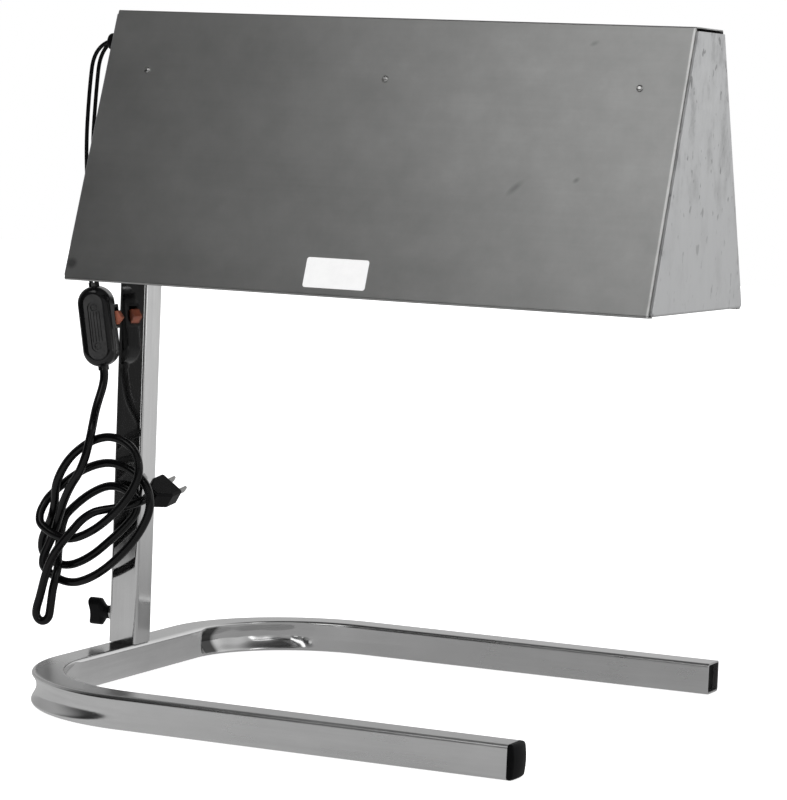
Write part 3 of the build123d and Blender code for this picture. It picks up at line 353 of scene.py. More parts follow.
def end_sheet(colour):
    """Mottled mill-finish sheet of the end plates, with upright streaks, dark nicks and painted shade along
    the front rim.

    The marks are stronger towards the top.
    """
    material, tree, shader = finish("end_sheet", Metallic=1.0)
    streak = noise(tree, 60.0, (1, 1, 0.25), 4.0, 0.6)
    mottle = noise(tree, 36.0, (1, 1, 0.7), 6.0, 0.65)
    nick = noise(tree, 140.0, (1, 1, 0.55), 2.0)
    # Painted shade: a dark band along the front rim, at the gap to the front panel
    outward = (0, -math.cos(HOOD_LEAN), math.sin(HOOD_LEAN))
    rim = outward[1] * hood_low.y + outward[2] * hood_low.z
    front = span(tree, along(tree, outward), rim - 0.0013, rim - 0.0006, 0.0, -0.5)
    nicks = span(tree, nick, 0.64, 0.70, 0.0, -0.9)
    upper = span(tree, along(tree, (0, 0, 1)), hood_low.z + 0.06, hood_high.z - 0.06, 0.5, 1.8)
    marks = total(tree, vary(tree, streak, -0.12, 0.12), vary(tree, mottle, -0.5, 0.5), nicks)
    tone = total(tree, product(tree, marks, upper), front)
    darkest, middle, lightest = shades(colour, 0.5, 1.0, 1.2)
    sheet = tint(tree, span(tree, tone, -1.0, 1.0), (0.0, darkest), (0.5, middle), (1.0, lightest))
    feed(tree, shader, Base_Color=sheet, Roughness=vary(tree, mottle, 0.42, 0.52))
    bump(tree, shader, mottle, 0.0003)
    return material


def crease_shade(tree, bend_start, side):
    """1 in the crease where the rear bend's hollow starts, on the tube's inner wall, where painted shade
    goes, and 0 elsewhere.
    """
    x, y, z = [along(tree, way) for way in ((1, 0, 0), (0, 1, 0), (0, 0, 1))]
    beyond = math_node(tree, "SUBTRACT", y, bend_start)
    band = product(tree, span(tree, beyond, 0.009, 0.014), span(tree, beyond, 0.026, 0.034, 1.0, 0.0))
    wall = product(tree, span(tree, x, 0.001, 0.003), span(tree, x, 0.022, 0.026, 1.0, 0.0))
    over = product(tree, span(tree, z, 0.0005, 0.0027), span(tree, z, side - 0.0027, side - 0.0005, 1.0, 0.0))
    return product(tree, band, wall, over)


def worn_top(tree, bend_start, side):
    """Added roughness of the front bend's top, which is dulled by handling, and 0 elsewhere."""
    top = span(tree, along(tree, (0, 0, 1)), side - 0.0012, side - 0.0004)
    bend = span(tree, along(tree, (0, 1, 0)), -bend_start - 0.03, -bend_start, 0.12, 0.0)
    return product(tree, top, bend)


def polished_tube(colour, name, drawn, gloss, relief, bends=None):
    """Polished tube with haze and faint wiping streaks drawn out along it.

    The gloss is the roughness near the post and out along the legs. The bends, where given, are the Y where
    the rear bend starts and the tube's side, for the painted shade in its crease and the front bend's worn
    top.
    """
    material, tree, shader = finish(name, Metallic=1.0)
    haze = noise(tree, 24.0, tuple(0.5 + 0.5 * part for part in drawn), 4.0, 0.6)
    wipe = noise(tree, 220.0, drawn, 3.0)
    tone = total(tree, vary(tree, haze, -0.5, 0.5), vary(tree, wipe, -0.3, 0.3))
    tone = span(tree, tone, -1.0, 1.0, 0.5, 1.0)
    if bends:
        # Painted shade: the tone drops almost to black in the rear bend's crease
        tone = product(tree, tone, span(tree, crease_shade(tree, *bends), 0.0, 1.0, 1.0, 0.05))
    darkest, lightest = shades(colour, 0.82, 1.06)
    legs = span(tree, along(tree, (1, 0, 0)), 0.10, 0.24, *gloss)
    rough = total(tree, legs, span(tree, haze, 0.35, 0.7, 0.0, 0.05), span(tree, wipe, 0.4, 0.7, 0.0, 0.03))
    if bends:
        rough = total(tree, rough, worn_top(tree, *bends))
    plating = tint(tree, tone, (0.0, grey(0.03)), (0.5, darkest), (1.0, lightest))
    feed(tree, shader, Base_Color=plating, Roughness=rough)
    bump(tree, shader, haze, relief)
    return material


def filmed_metal(name, scale, darkest, lightest, gloss):
    """Bare or plated metal under a cloudy film: its two (place, colour) stops and its span of roughness."""
    material, tree, shader = finish(name, Metallic=1.0)
    film = noise(tree, scale)
    feed(tree, shader, Base_Color=tint(tree, film, darkest, lightest), Roughness=vary(tree, film, *gloss))
    return material


def zinc_plate():
    """Zinc-plated fasteners: pale, slightly cloudy metal."""
    return filmed_metal("zinc_plate", 260.0, (0.3, grey(0.50)), (0.7, (0.70, 0.70, 0.68)), (0.18, 0.34))


def black_steel():
    """Blackened screws, a little worn."""
    return filmed_metal("black_steel", 400.0, (0.35, grey(0.05)), (0.75, grey(0.16)), (0.22, 0.38))


def brass():
    """Bare brass with a dull film."""
    return filmed_metal("brass", 180.0, (0.3, (0.52, 0.36, 0.14)), (0.7, (0.76, 0.58, 0.28)), (0.22, 0.40))


def lamp_metal():
    """Aluminium screw base of a lamp."""
    return filmed_metal("lamp_metal", 200.0, (0.3, grey(0.58)), (0.7, grey(0.74)), (0.26, 0.42))


def black_rubber(colour):
    """Cord jacket: black, half gloss, with faint drag marks and dust."""
    material, tree, shader = finish("black_rubber", Specular_IOR_Level=0.28)
    drag = noise(tree, 500.0, (1, 1, 1), 2.0)
    dust = noise(tree, 60.0, (1, 1, 1), 5.0, 0.7)
    darkest, lightest = shades(colour, 1.0, 2.6)
    jacket = tint(tree, dust, (0.45, darkest), (0.85, lightest))
    feed(tree, shader, Base_Color=jacket, Roughness=span(tree, dust, 0.3, 0.75, 0.13, 0.26))
    bump(tree, shader, drag, 0.00004)
    return material


def black_moulding(colour, name, shine, gloss, grain):
    """Black plastic: shine is its specular level, gloss its roughness and grain its texture's height."""
    material, tree, shader = finish(name, Specular_IOR_Level=shine)
    skin = noise(tree, 900.0, (1, 1, 1), 2.0)
    wear = noise(tree, 70.0, (1, 1, 1), 5.0, 0.7)
    darkest, lightest = shades(colour, 1.0, 2.4)
    plastic = tint(tree, wear, (0.45, darkest), (0.85, lightest))
    feed(tree, shader, Base_Color=plastic, Roughness=span(tree, wear, 0.3, 0.75, gloss, gloss + 0.16))
    bump(tree, shader, skin, grain)
    return material


def rocker_plastic(colour):
    """Translucent-looking orange plastic of the rocker."""
    material, tree, shader = finish("rocker_plastic", Subsurface_Weight=0.15)
    shader.inputs["Subsurface Radius"].default_value = (0.002, 0.0008, 0.0005)
    wear = noise(tree, 160.0)
    darker, plain = shades(colour, 0.78, 1.0)
    plastic = tint(tree, wear, (0.3, darker), (0.65, plain))
    feed(tree, shader, Base_Color=plastic, Roughness=vary(tree, wear, 0.28, 0.42))
    return material


def label_film(colour):
    """Blank white label: satin film, a little grubby."""
    material, tree, shader = finish("label_film")
    grime = noise(tree, 120.0, (1, 1, 1), 5.0, 0.65)
    darker, plain = shades(colour, 0.97, 1.0)
    film = tint(tree, grime, (0.35, darker), (0.6, plain))
    feed(tree, shader, Base_Color=film, Roughness=vary(tree, grime, 0.38, 0.5))
    return material


def porcelain():
    """White glazed porcelain of the lampholders."""
    material, tree, shader = finish("porcelain", Coat_Weight=0.5, Coat_Roughness=0.08)
    glaze = noise(tree, 90.0)
    clay = tint(tree, glaze, (0.3, (0.78, 0.77, 0.73)), (0.7, (0.86, 0.85, 0.82)))
    feed(tree, shader, Base_Color=clay, Roughness=vary(tree, glaze, 0.16, 0.28))
    bump(tree, shader, glaze, 0.0002)
    return material


def lamp_envelope(belly):
    """Reflector lamp: silvered inside above its belly, frosted glass below."""
    material, tree, shader = finish("lamp_envelope", IOR=1.45)
    height = along(tree, (0, 0, 1))
    frost = noise(tree, 700.0, (1, 1, 1), 2.0)
    silver = span(tree, height, belly - 0.004, belly + 0.004)
    clear = span(tree, height, belly - 0.004, belly + 0.004, 0.65, 0.0)
    glass = tint(tree, frost, (0.3, grey(0.80)), (0.7, grey(0.90)))
    feed(tree, shader, Base_Color=glass, Metallic=silver, Transmission_Weight=clear)
    feed(tree, shader, Roughness=vary(tree, frost, 0.16, 0.30))
    return material


def dress(material, *names):
    """Puts one finish on CAD nodes, by name."""
    for name in names:
        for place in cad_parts[name].material_slots:
            place.material = material


# Surfaces


def grid_piece(name, points, closed, material):
    """Mesh piece from a grid of points of shape (rows, columns, 3), closed both ways where closed is true.

    Each face joins a point with the next one along its row, in the next row, and back.
    """
    rows, columns = points.shape[:2]
    row, column = np.meshgrid(np.arange(rows if closed else rows - 1), np.arange(columns), indexing="ij")
    next_row, next_column = (row + 1) % rows, (column + 1) % columns
    corners = [row * columns + column, row * columns + next_column]
    corners += [next_row * columns + next_column, next_row * columns + column]
    faces = np.stack(corners, -1).reshape(-1, 4)
    mesh = bpy.data.meshes.new(name)
    mesh.from_pydata(points.reshape(-1, 3), [], faces)
    mesh.shade_smooth()
    mesh.set_sharp_from_angle(angle=math.radians(50))
    piece = bpy.data.objects.new(name, mesh)
    mesh.materials.append(material)
    bpy.context.scene.collection.objects.link(piece)
    return piece


def rounded_square(side, corner, wall_points, corner_points):
    """Section of the tube as (across, up) points: four flat walls joined by quarter circles."""
    flat = side / 2 - corner
    run = np.linspace(-flat, flat, wall_points)
    turn = np.linspace(0, math.pi / 2, corner_points + 2)[1:-1]
    wall = np.stack([np.full(wall_points, side / 2), run], -1)
    arc = np.stack([flat + corner * np.cos(turn), flat + corner * np.sin(turn)], -1)
    quarter = np.concatenate([wall, arc])
    quarters = [quarter, quarter[:, ::-1] * (-1, 1), quarter * -1, quarter[:, ::-1] * (1, -1)]
    return np.concatenate(quarters)


def frame_line(bend, leg_y, leg_end):
    """Middle line of the base frame, the outward direction along it and the bend's turn, front leg first.

    The legs and the crossbar are straight; at each bend the outward direction turns a quarter about the
    bend's centre and the line keeps the bend's radius from it.
    """
    turn = np.linspace(math.pi / 2, 0, 81)
    leg = np.linspace(leg_end, bend, 14)[:-1]
    bar = np.linspace(-(leg_y - bend), leg_y - bend, 15)[1:-1]
    front_out = np.stack([-np.cos(turn), -np.sin(turn)], -1)
    rear_out = front_out[::-1] * (1, -1)
    front_side, bar_side = np.tile((0, -1), (len(leg), 1)), np.tile((-1, 0), (len(bar), 1))
    outward = np.concatenate([front_side, front_out, bar_side, rear_out, -front_side])
    front_leg = np.stack([leg, np.full(len(leg), -leg_y)], -1)
    front_bend = (bend, bend - leg_y) + front_out * bend
    crossbar = np.stack([np.zeros(len(bar)), bar], -1)
    rear_bend = (bend, leg_y - bend) + rear_out * bend
    rear_leg = front_leg[::-1] * (1, -1)
    straight = np.full(len(leg), math.pi / 2)
    turns = np.concatenate([straight, turn, np.zeros(len(bar)), turn[::-1], straight])
    return np.concatenate([front_leg, front_bend, crossbar, rear_bend, rear_leg]), outward, np.degrees(turns)


def dented(across, up, line, outward, die, crease):
    """Across places of the section after a round die has pressed the outer wall in, one row for each station.

    The die is a bar bent to an arc. At each station its middle is where the outward line meets that arc,
    and a wall point stops at the bar's surface; a soft minimum rounds the dent's edges. The die holds over
    its sweep, in degrees to each side of its way, and fades out at the ends.
    """
    away = line - die["centre"]
    outward_part = (away * outward).sum(1)
    reach = die["arc"] ** 2 - (away**2).sum(1) + outward_part**2
    middle = -outward_part + np.sqrt(np.maximum(reach, 0))
    touch = away + outward * middle[:, None]
    swing = np.degrees(np.arccos(np.clip((touch @ die["way"]) / np.linalg.norm(touch, axis=1), -1, 1)))
    hold = (ease((die["sweep"] - swing) / die["fade"]) * (reach > 0))[:, None]
    limit = middle[:, None] - np.sqrt(np.maximum(die["radius"] ** 2 - up**2, 0))
    pressed = -crease * np.logaddexp(-across / crease, -limit / crease)
    return across + hold * (pressed - across)


def ease(value):
    """Smooth step from 0 to 1 over the span from 0 to 1."""
    held = np.clip(value, 0, 1)
    return held * held * (3 - 2 * held)


def trough(across, up, turns, half, depth):
    """Across places of the section after each bend's inner wall has buckled in.

    The wall goes in by the depth times (1 - u^2)^1.5, where u is its height from the middle over a little
    less than half its height. The trough starts in a crease near the crossbar, swells and thins round the
    bend, and ends in a few ripples.
    """
    length = ease((turns - 2) / 6) * ease((69 - turns) / 14)
    swell = 1 + 0.09 * np.sin(np.radians(turns * 9 + 20)) + 0.05 * np.sin(np.radians(turns * 23))
    ripple = 0.05 * np.sin(np.radians(turns * 60)) * np.exp(-(((turns - 61) / 4) ** 2))
    over = np.clip(1 - (up / (0.95 * half)) ** 2, 0, 1) ** 1.5
    inner = ease((-across / half - 0.55) / 0.4)
    return across + depth * (length * swell + ripple)[:, None] * over * inner


# The bar that presses each bend's outer wall in: its radius, how far its arc's centre is set back from the
# bend's centre, and its sweep to each side and the fade at its ends, in degrees
DIE_RADIUS = 0.0130
DIE_SETBACK = 0.020
DIE_SWEEP = 52
DIE_FADE = 8


def bent_frame(sizes, leg_y, leg_end, material):
    """Hollow base frame: a rounded square carried along the frame's line, with both bends dented.

    The rows run along the outside from the front leg's end to the rear one's, then back along the bore.
    """
    line, outward, turns = frame_line(sizes.bend, leg_y, leg_end)
    half = sizes.side / 2
    way = np.array([(-math.sqrt(0.5), side * math.sqrt(0.5)) for side in (-1, 1)])
    hub = np.array([(sizes.bend, side * (leg_y - sizes.bend)) for side in (-1, 1)])
    skins = []
    for inset in (0.0, sizes.wall):
        section = rounded_square(sizes.side - 2 * inset, sizes.corner - inset, 25, 7)
        across = np.tile(section[:, 0], (len(line), 1))
        for side in (0, 1):
            die = {
                "centre": hub[side] - way[side] * DIE_SETBACK,
                "way": way[side],
                "arc": sizes.bend + half + DIE_RADIUS - sizes.outer_dent + DIE_SETBACK,
                "radius": DIE_RADIUS + inset,
                "sweep": DIE_SWEEP,
                "fade": DIE_FADE,
            }
            across = dented(across, section[:, 1], line, outward, die, sizes.crease)
        across = trough(across, section[:, 1], turns, half - inset, sizes.inner_dent)
        flat = line[:, None, :] + outward[:, None, :] * across[:, :, None]
        height = np.broadcast_to(half + section[:, 1], across.shape)
        skins.append(np.concatenate([flat, height[:, :, None]], -1))
    return grid_piece("bent_frame", np.concatenate([skins[0], skins[1][::-1]]), True, material)


# Cords


def cord_piece(name, points, diameter, material):
    """Round cord along a smooth NURBS spline with these control points.

    The radius is on the points, so that the curve's box keeps to the cord.
    """
    curve = bpy.data.curves.new(name, "CURVE")
    curve.dimensions = "3D"
    curve.bevel_depth = 1.0
    curve.bevel_resolution = 5
    curve.resolution_u = 10
    curve.use_fill_caps = True
    spline = curve.splines.new("NURBS")
    spline.points.add(len(points) - 1)
    spline.points.foreach_set("co", np.column_stack([points, np.ones(len(points))]).ravel())
    spline.points.foreach_set("radius", np.full(len(points), diameter / 2))
    spline.order_u = 3
    spline.use_endpoint_u = True
    piece = bpy.data.objects.new(name, curve)
    curve.materials.append(material)
    bpy.context.scene.collection.objects.link(piece)
    return piece


def loop_quarters(centre_x, centre_z, tilt, loop):
    """Points and directions of travel at the four quarters of one loop of the hank, left end first.

    A quarter lies its reach out from the hank's middle and its shift along the way of travel, at its depth.
    """
    reach, shift, depth = np.array(loop).T
    angle = np.radians(tilt + np.array((180, 270, 0, 90)))
    outward = np.stack([np.cos(angle), np.zeros(4), np.sin(angle)], -1)
    onward = np.stack([-np.sin(angle), np.zeros(4), np.cos(angle)], -1)
    middle = np.stack([np.full(4, centre_x), depth, np.full(4, centre_z)], -1)
    return middle + outward * reach[:, None] + onward * shift[:, None], onward


def hank_turns(places, ways, steps):
    """Control points of the hank's turns.

    Between two places the cord follows the cubic that leaves and arrives along their ways, with handles
    as long as an arc of that turn needs. The points then stand off the turns by an eighth of their second
    difference, as a quadratic spline's control points do.
    """
    ways = ways / np.linalg.norm(ways, axis=1, keepdims=True)
    chord = np.linalg.norm(np.diff(places, axis=0), axis=1)
    turn = np.arccos(np.clip((ways[:-1] * ways[1:]).sum(1), -1, 1))
    handle = (chord / np.cos(turn / 4) ** 2)[:, None, None]
    t = (np.arange(steps) / steps)[None, :, None]
    start, end = places[:-1, None], places[1:, None]
    leave, arrive = ways[:-1, None] * handle, ways[1:, None] * handle
    blend = (2 * t**3 - 3 * t**2 + 1) * start + (3 * t**2 - 2 * t**3) * end
    turns = (blend + (t**3 - 2 * t**2 + t) * leave + (t**3 - t**2) * arrive).reshape(-1, 3)
    turns = np.concatenate([turns, places[-1:]])
    second = turns[2:] - 2 * turns[1:-1] + turns[:-2]
    return np.concatenate([turns[:1], turns[1:-1] - second / 8, turns[-1:]])


# Control points of the leads and of the cord's drop from the switch to the hank
OUTER_LEAD = np.array(
    [
        (-0.0205, -0.0282, 0.5055),
        (-0.0335, -0.0282, 0.5005),
        (-0.0370, -0.0280, 0.4675),
        (-0.0380, -0.0290, 0.4195),
        (-0.0330, -0.0300, 0.3715),
        (-0.03112, -0.03287, 0.33858),
        (-0.02761, -0.03193, 0.31486),
    ]
)
INNER_LEAD = np.array(
    [
        (-0.0205, -0.0238, 0.5055),
        (-0.0305, -0.0238, 0.4985),
        (-0.0330, -0.0240, 0.4675),
        (-0.0340, -0.0260, 0.4195),
        (-0.0280, -0.0280, 0.3715),
        (-0.02692, -0.03175, 0.33925),
        (-0.02341, -0.03081, 0.31553),
    ]
)
LINE_LEAD = np.array(
    [
        (-0.0097, -0.0282, 0.5055),
        (0.0203, -0.0282, 0.5055),
        (0.0503, -0.0232, 0.4952),
        (0.3503, -0.0232, 0.4952),
    ]
)
NEUTRAL_LEAD = np.array(
    [
        (-0.0097, -0.0238, 0.5055),
        (0.0203, -0.0238, 0.5055),
        (0.0503, 0.0232, 0.4952),
        (0.3503, 0.0232, 0.4952),
    ]
)
POWER_ROUTE = np.array(
    [
        (-0.01529, -0.02863, 0.24600),
        (-0.01412, -0.02831, 0.23809),
        (-0.0155, -0.0385, 0.2175),
        (-0.0117, -0.0500, 0.2035),
        (-0.0118, -0.0525, 0.1950),
        (-0.0140, -0.0529, 0.1850),
    ]
)
HANK_MIDDLE = (-0.020, 0.140)
HANK_TILT = 45.0
# Reach, shift and depth of each loop at its left, lower, right and upper quarters
HANK_LOOPS = (
    (
        (0.0685, 0.0130, -0.0350),
        (0.0490, -0.0075, -0.0370),
        (0.0500, -0.0190, -0.0385),
        (0.0285, 0.0210, -0.0330),
    ),
    (
        (0.0420, -0.0115, -0.0440),
        (0.0235, 0.0170, -0.0460),
        (0.0635, 0.0025, -0.0457),
        (0.0350, -0.0205, -0.0450),
    ),
    (
        (0.0660, 0.0015, -0.0260),
        (0.0295, -0.0130, -0.0205),
        (0.0265, -0.0175, -0.0205),
        (0.0120, 0.0270, -0.0205),
    ),
)
# Places on the hank's other stretches, each with its way of travel
HANK_IN = (
    ((-0.0390, -0.0440, 0.1410), (-0.4, 0.25, -0.9)),
    ((-0.0520, -0.0360, 0.1135), (-0.32, 0.12, -0.94)),
)
HANK_TUCK = (((-0.0515, -0.0375, 0.1370), (-0.1, 0.4, -0.9)),)
HANK_BIGHT = (
    ((-0.0510, -0.0295, 0.1025), (0.05, -0.4, -1)),
    ((-0.0444, -0.0440, 0.0790), (-0.12, -0.4, -1)),
    ((-0.0472, -0.0475, 0.0495), (-0.08, -0.12, -1)),
    ((-0.0528, -0.0487, 0.0428), (-1, -0.08, 0)),
    ((-0.0584, -0.0495, 0.0495), (0.06, -0.05, 1)),
    ((-0.0545, -0.0503, 0.0640), (0.26, -0.06, 1)),
)
HANK_OUT = (
    ((-0.0315, -0.0535, 0.1115), (0.72, 0.05, 0.75)),
    ((-0.0110, -0.0470, 0.1335), (0.85, 0.35, 0.42)),
    ((0.0080, -0.0370, 0.1385), (0.93, 0.3, 0.22)),
)
# Where the cord enters the plug, its way there and the straight stretch before it
PLUG_ENTRY = np.array((0.02586, -0.02648, 0.14594))
PLUG_WAY = np.array((0.117, 0.974, 0.193)) / np.linalg.norm((0.117, 0.974, 0.193))
PLUG_LEAD = 0.003
# CAD nodes that each cord stands in for
CORD_NODES = {
    "power_line": ("power_cord", "cord_hank"),
    "outer_lead": ("switch_lead_outer",),
    "inner_lead": ("switch_lead_inner",),
    "lamp_line_lead": ("line_lead",),
    "lamp_neutral_lead": ("neutral_lead",),
}


def power_line(cord, steps):
    """Control points of the whole power cord: its drop from the switch, the hank's turns and its end."""
    entry_way = POWER_ROUTE[-1] - POWER_ROUTE[-2]
    entry_way = entry_way / np.linalg.norm(entry_way)
    places, ways = [POWER_ROUTE[-1] + entry_way * cord], [entry_way]
    stretches = [HANK_IN, HANK_LOOPS[0], HANK_LOOPS[1], HANK_TUCK, HANK_LOOPS[2], HANK_BIGHT, HANK_OUT]
    for stretch in stretches:
        if stretch in HANK_LOOPS:
            quarter_places, quarter_ways = loop_quarters(*HANK_MIDDLE, HANK_TILT, stretch)
        else:
            quarter_places, quarter_ways = np.array(stretch).transpose(1, 0, 2)
        places.extend(quarter_places)
        ways.extend(quarter_ways)
    places.append(PLUG_ENTRY - PLUG_WAY * PLUG_LEAD)
    ways.append(PLUG_WAY)
    turns = hank_turns(np.array(places), np.array(ways), steps)
    return np.concatenate([POWER_ROUTE, turns, [PLUG_ENTRY]])


def line_length(piece):
    """Length of a cord's middle line, read from its spline."""
    depth = piece.data.bevel_depth
    piece.data.bevel_depth = 0
    mesh = bpy.data.meshes.new_from_object(piece.evaluated_get(bpy.context.evaluated_depsgraph_get()))
    points = np.empty(len(mesh.vertices) * 3)
    mesh.vertices.foreach_get("co", points)
    bpy.data.meshes.remove(mesh)
    piece.data.bevel_depth = depth
    return float(np.linalg.norm(np.diff(points.reshape(-1, 3), axis=0), axis=1).sum())


# Operators

# Painted light: shares of the hood sheet's colour that make the end plates, of the same sheet, lighter
END_LIGHT_SHARES = (1.13, 1.135, 1.16)
# Height of the silvering's edge, as a share of a lamp's height
BELLY_SHARE = 0.30


class WARMER_OT_hood(bpy.types.Operator):
    """Finishes the folded hood, its end plates, screws, lamp channel and blank label"""

    bl_idname = "warmer.hood"
    bl_label = "Hood"

    def execute(self, context):
        looks = context.scene.warmer_finishes
        dress(mill_sheet(tuple(looks.sheet)), "hood_shell", "lamp_channel")
        # Painted light: the end plates get a lighter copy of the hood's sheet colour
        lit_end_colour = tuple(part * share for part, share in zip(looks.sheet, END_LIGHT_SHARES))
        dress(end_sheet(lit_end_colour), "hood_end_left", "hood_end_right")
        dress(label_film(tuple(looks.label)), "blank_label")
        fixings = ["hood_screws", "post_bracket", "post_bolts", "post_nuts", "bracket_screws", "bracket_nuts"]
        dress(zinc_plate(), *fixings, "lampholder_screws", "lampholder_nuts", "clamp_boss", "clamp_screw")
        return {"FINISHED"}


class WARMER_OT_frame(bpy.types.Operator):
    """Makes the bent base frame with its dented bends, and finishes the post, plugs and clamp"""

    bl_idname = "warmer.frame"
    bl_label = "Base and post"

    def execute(self, context):
        looks, sizes = context.scene.warmer_finishes, context.scene.warmer_tube
        leg_y = base_high.y - sizes.side / 2
        bends = (leg_y - sizes.bend, sizes.side)
        satin = polished_tube(tuple(looks.tube), "satin_tube", (0.05, 0.05, 1), (0.13, 0.26), 0.00004, bends)
        piece = bent_frame(sizes, leg_y, base_high.x, satin)
        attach(piece, "base")
        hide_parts("base_frame")
        bright = polished_tube(tuple(looks.tube), "polished_tube", (1, 1, 0.04), (0.06, 0.06), 0.0001)
        dress(bright, "post_tube", "post_stub")
        plastic = black_moulding(tuple(looks.moulding), "satin_moulding", 0.15, 0.36, 0.00006)
        dress(plastic, "clamp_knob", "lead_bushing")
        dull = black_moulding(tuple(looks.moulding), "cap_moulding", 0.06, 0.42, 0.00006)
        dress(dull, "leg_cap_front", "leg_cap_rear")
        return {"FINISHED"}


class WARMER_OT_lamps(bpy.types.Operator):
    """Finishes the lampholders, their metal pieces and the two reflector lamps"""

    bl_idname = "warmer.lamps"
    bl_label = "Lamps"

    def execute(self, context):
        low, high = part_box("lamp_glass_left")
        belly = low.z + BELLY_SHARE * (high.z - low.z)
        glass, metal, clay, contact = lamp_envelope(belly), lamp_metal(), porcelain(), brass()
        for side in ("left", "right"):
            dress(glass, f"lamp_glass_{side}")
            dress(metal, f"lamp_base_{side}")
            dress(clay, f"lampholder_{side}")
            dress(contact, f"socket_shell_{side}", f"socket_contact_{side}")
        dress(contact, "terminal_screws", "clamp_pad")
        return {"FINISHED"}


class WARMER_OT_switch(bpy.types.Operator):
    """Finishes the cord switch and the plug"""

    bl_idname = "warmer.switch"
    bl_label = "Switch and plug"

    def execute(self, context):
        looks = context.scene.warmer_finishes
        gloss = black_moulding(tuple(looks.moulding), "gloss_moulding", 0.5, 0.10, 0.00001)
        dress(gloss, "switch_cover", "switch_case")
        dress(rocker_plastic(tuple(looks.rocker)), "switch_rocker")
        dress(zinc_plate(), "plug_blades")
        dress(black_steel(), "switch_screws")
        dress(black_moulding(tuple(looks.moulding), "plug_moulding", 0.12, 0.20, 0.00002), "plug_body")
        return {"FINISHED"}


class WARMER_OT_cords(bpy.types.Operator):
    """Lays the power cord with its hank, the leads of the switch and the leads of the lamps"""

    bl_idname = "warmer.cords"
    bl_label = "Cords"

    def execute(self, context):
        looks, sizes = context.scene.warmer_finishes, context.scene.warmer_cords
        rubber = black_rubber(tuple(looks.rubber))
        power = power_line(sizes.cord, sizes.turn_points)
        switch_front = ["switch_cover", "switch_screws", "switch_rocker"]
        lays = [
            ("power_line", power, sizes.cord, "plug", "coiled", ["plug_body", "plug_blades"]),
            ("outer_lead", OUTER_LEAD, sizes.lead, "fitting", "hanging", switch_front),
            ("inner_lead", INNER_LEAD, sizes.lead, "fitting", "hanging", ["switch_case"]),
            ("lamp_line_lead", LINE_LEAD, sizes.lead, "object", "loose", []),
            ("lamp_neutral_lead", NEUTRAL_LEAD, sizes.lead, "object", "loose", []),
        ]
        for name, points, diameter, far_end, lay, on_it in lays:
            piece = cord_piece(name, points, diameter, rubber)
            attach(piece, "head")
            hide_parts(*CORD_NODES[name])
            line_length(piece)
        return {"FINISHED"}


# Stage

# The floor lies this far under the feet, so that they don't share a plane
FLOOR_DROP = 0.0004
# Where each light stands, where it aims, and its width and height
LIGHTS = {
    "key_box": ((0.15, -1.55, 1.60), (0.22, 0.0, 0.30), (1.1, 0.9)),
    "fill_box": ((1.9, 0.5, 1.3), (0.22, 0.0, 0.30), (1.4, 1.2)),
    "right_card": ((1.53, -0.13, 0.75), (0.08, 0.12, 0.01), (0.28, 1.4)),
    "front_card": ((0.0, -1.73, 0.145), (-0.02, -0.03, 0.28), (0.32, 0.32)),
}
RIGHT_CARD_SHARE = 2.9
FRONT_CARD_SHARE = 0.7
# Level directions to the front left and to the rear right, in which the floor and the room change
FRONT_LEFT = (-0.49, -0.87, 0.0)
REAR_RIGHT = (0.55, 0.83, 0.0)


def floor_finish():
    """Pale floor: plain to light and shadow, lifted to white for the camera, and a bright patch in metal.

    Away from the patch, polished metal sees a darker floor. From below the floor is clear.
    """
    material = bpy.data.materials.new("studio_floor")
    material.use_nodes = True
    tree = material.node_tree
    tree.nodes.clear()
    rays = node(tree, "ShaderNodeLightPath").outputs
    ahead = along(tree, FRONT_LEFT)
    near = total(tree, span(tree, ahead, -0.15, 0.25, 0.38, 0.56), span(tree, ahead, -1.4, -0.5, 0.30, 0.0))
    patch = product(tree, near, span(tree, ahead, 0.62, 0.80, 1.0, 0.04))
    paper = node(tree, "ShaderNodeBsdfDiffuse", {"Color": (0.80, 0.80, 0.80, 1)}).outputs["BSDF"]
    lift = node(tree, "ShaderNodeEmission", {"Color": (1, 1, 1, 1), "Strength": 0.74}).outputs["Emission"]
    seen = node(tree, "ShaderNodeAddShader", {0: paper, 1: lift}).outputs["Shader"]
    mirrored = node(tree, "ShaderNodeEmission", {"Strength": patch}).outputs["Emission"]
    lit = mixed(tree, rays["Is Glossy Ray"], paper, mirrored)
    above = mixed(tree, rays["Is Camera Ray"], lit, seen)
    clear = node(tree, "ShaderNodeBsdfTransparent").outputs["BSDF"]
    under = node(tree, "ShaderNodeNewGeometry").outputs["Backfacing"]
    node(tree, "ShaderNodeOutputMaterial", {"Surface": mixed(tree, under, above, clear)})
    return material


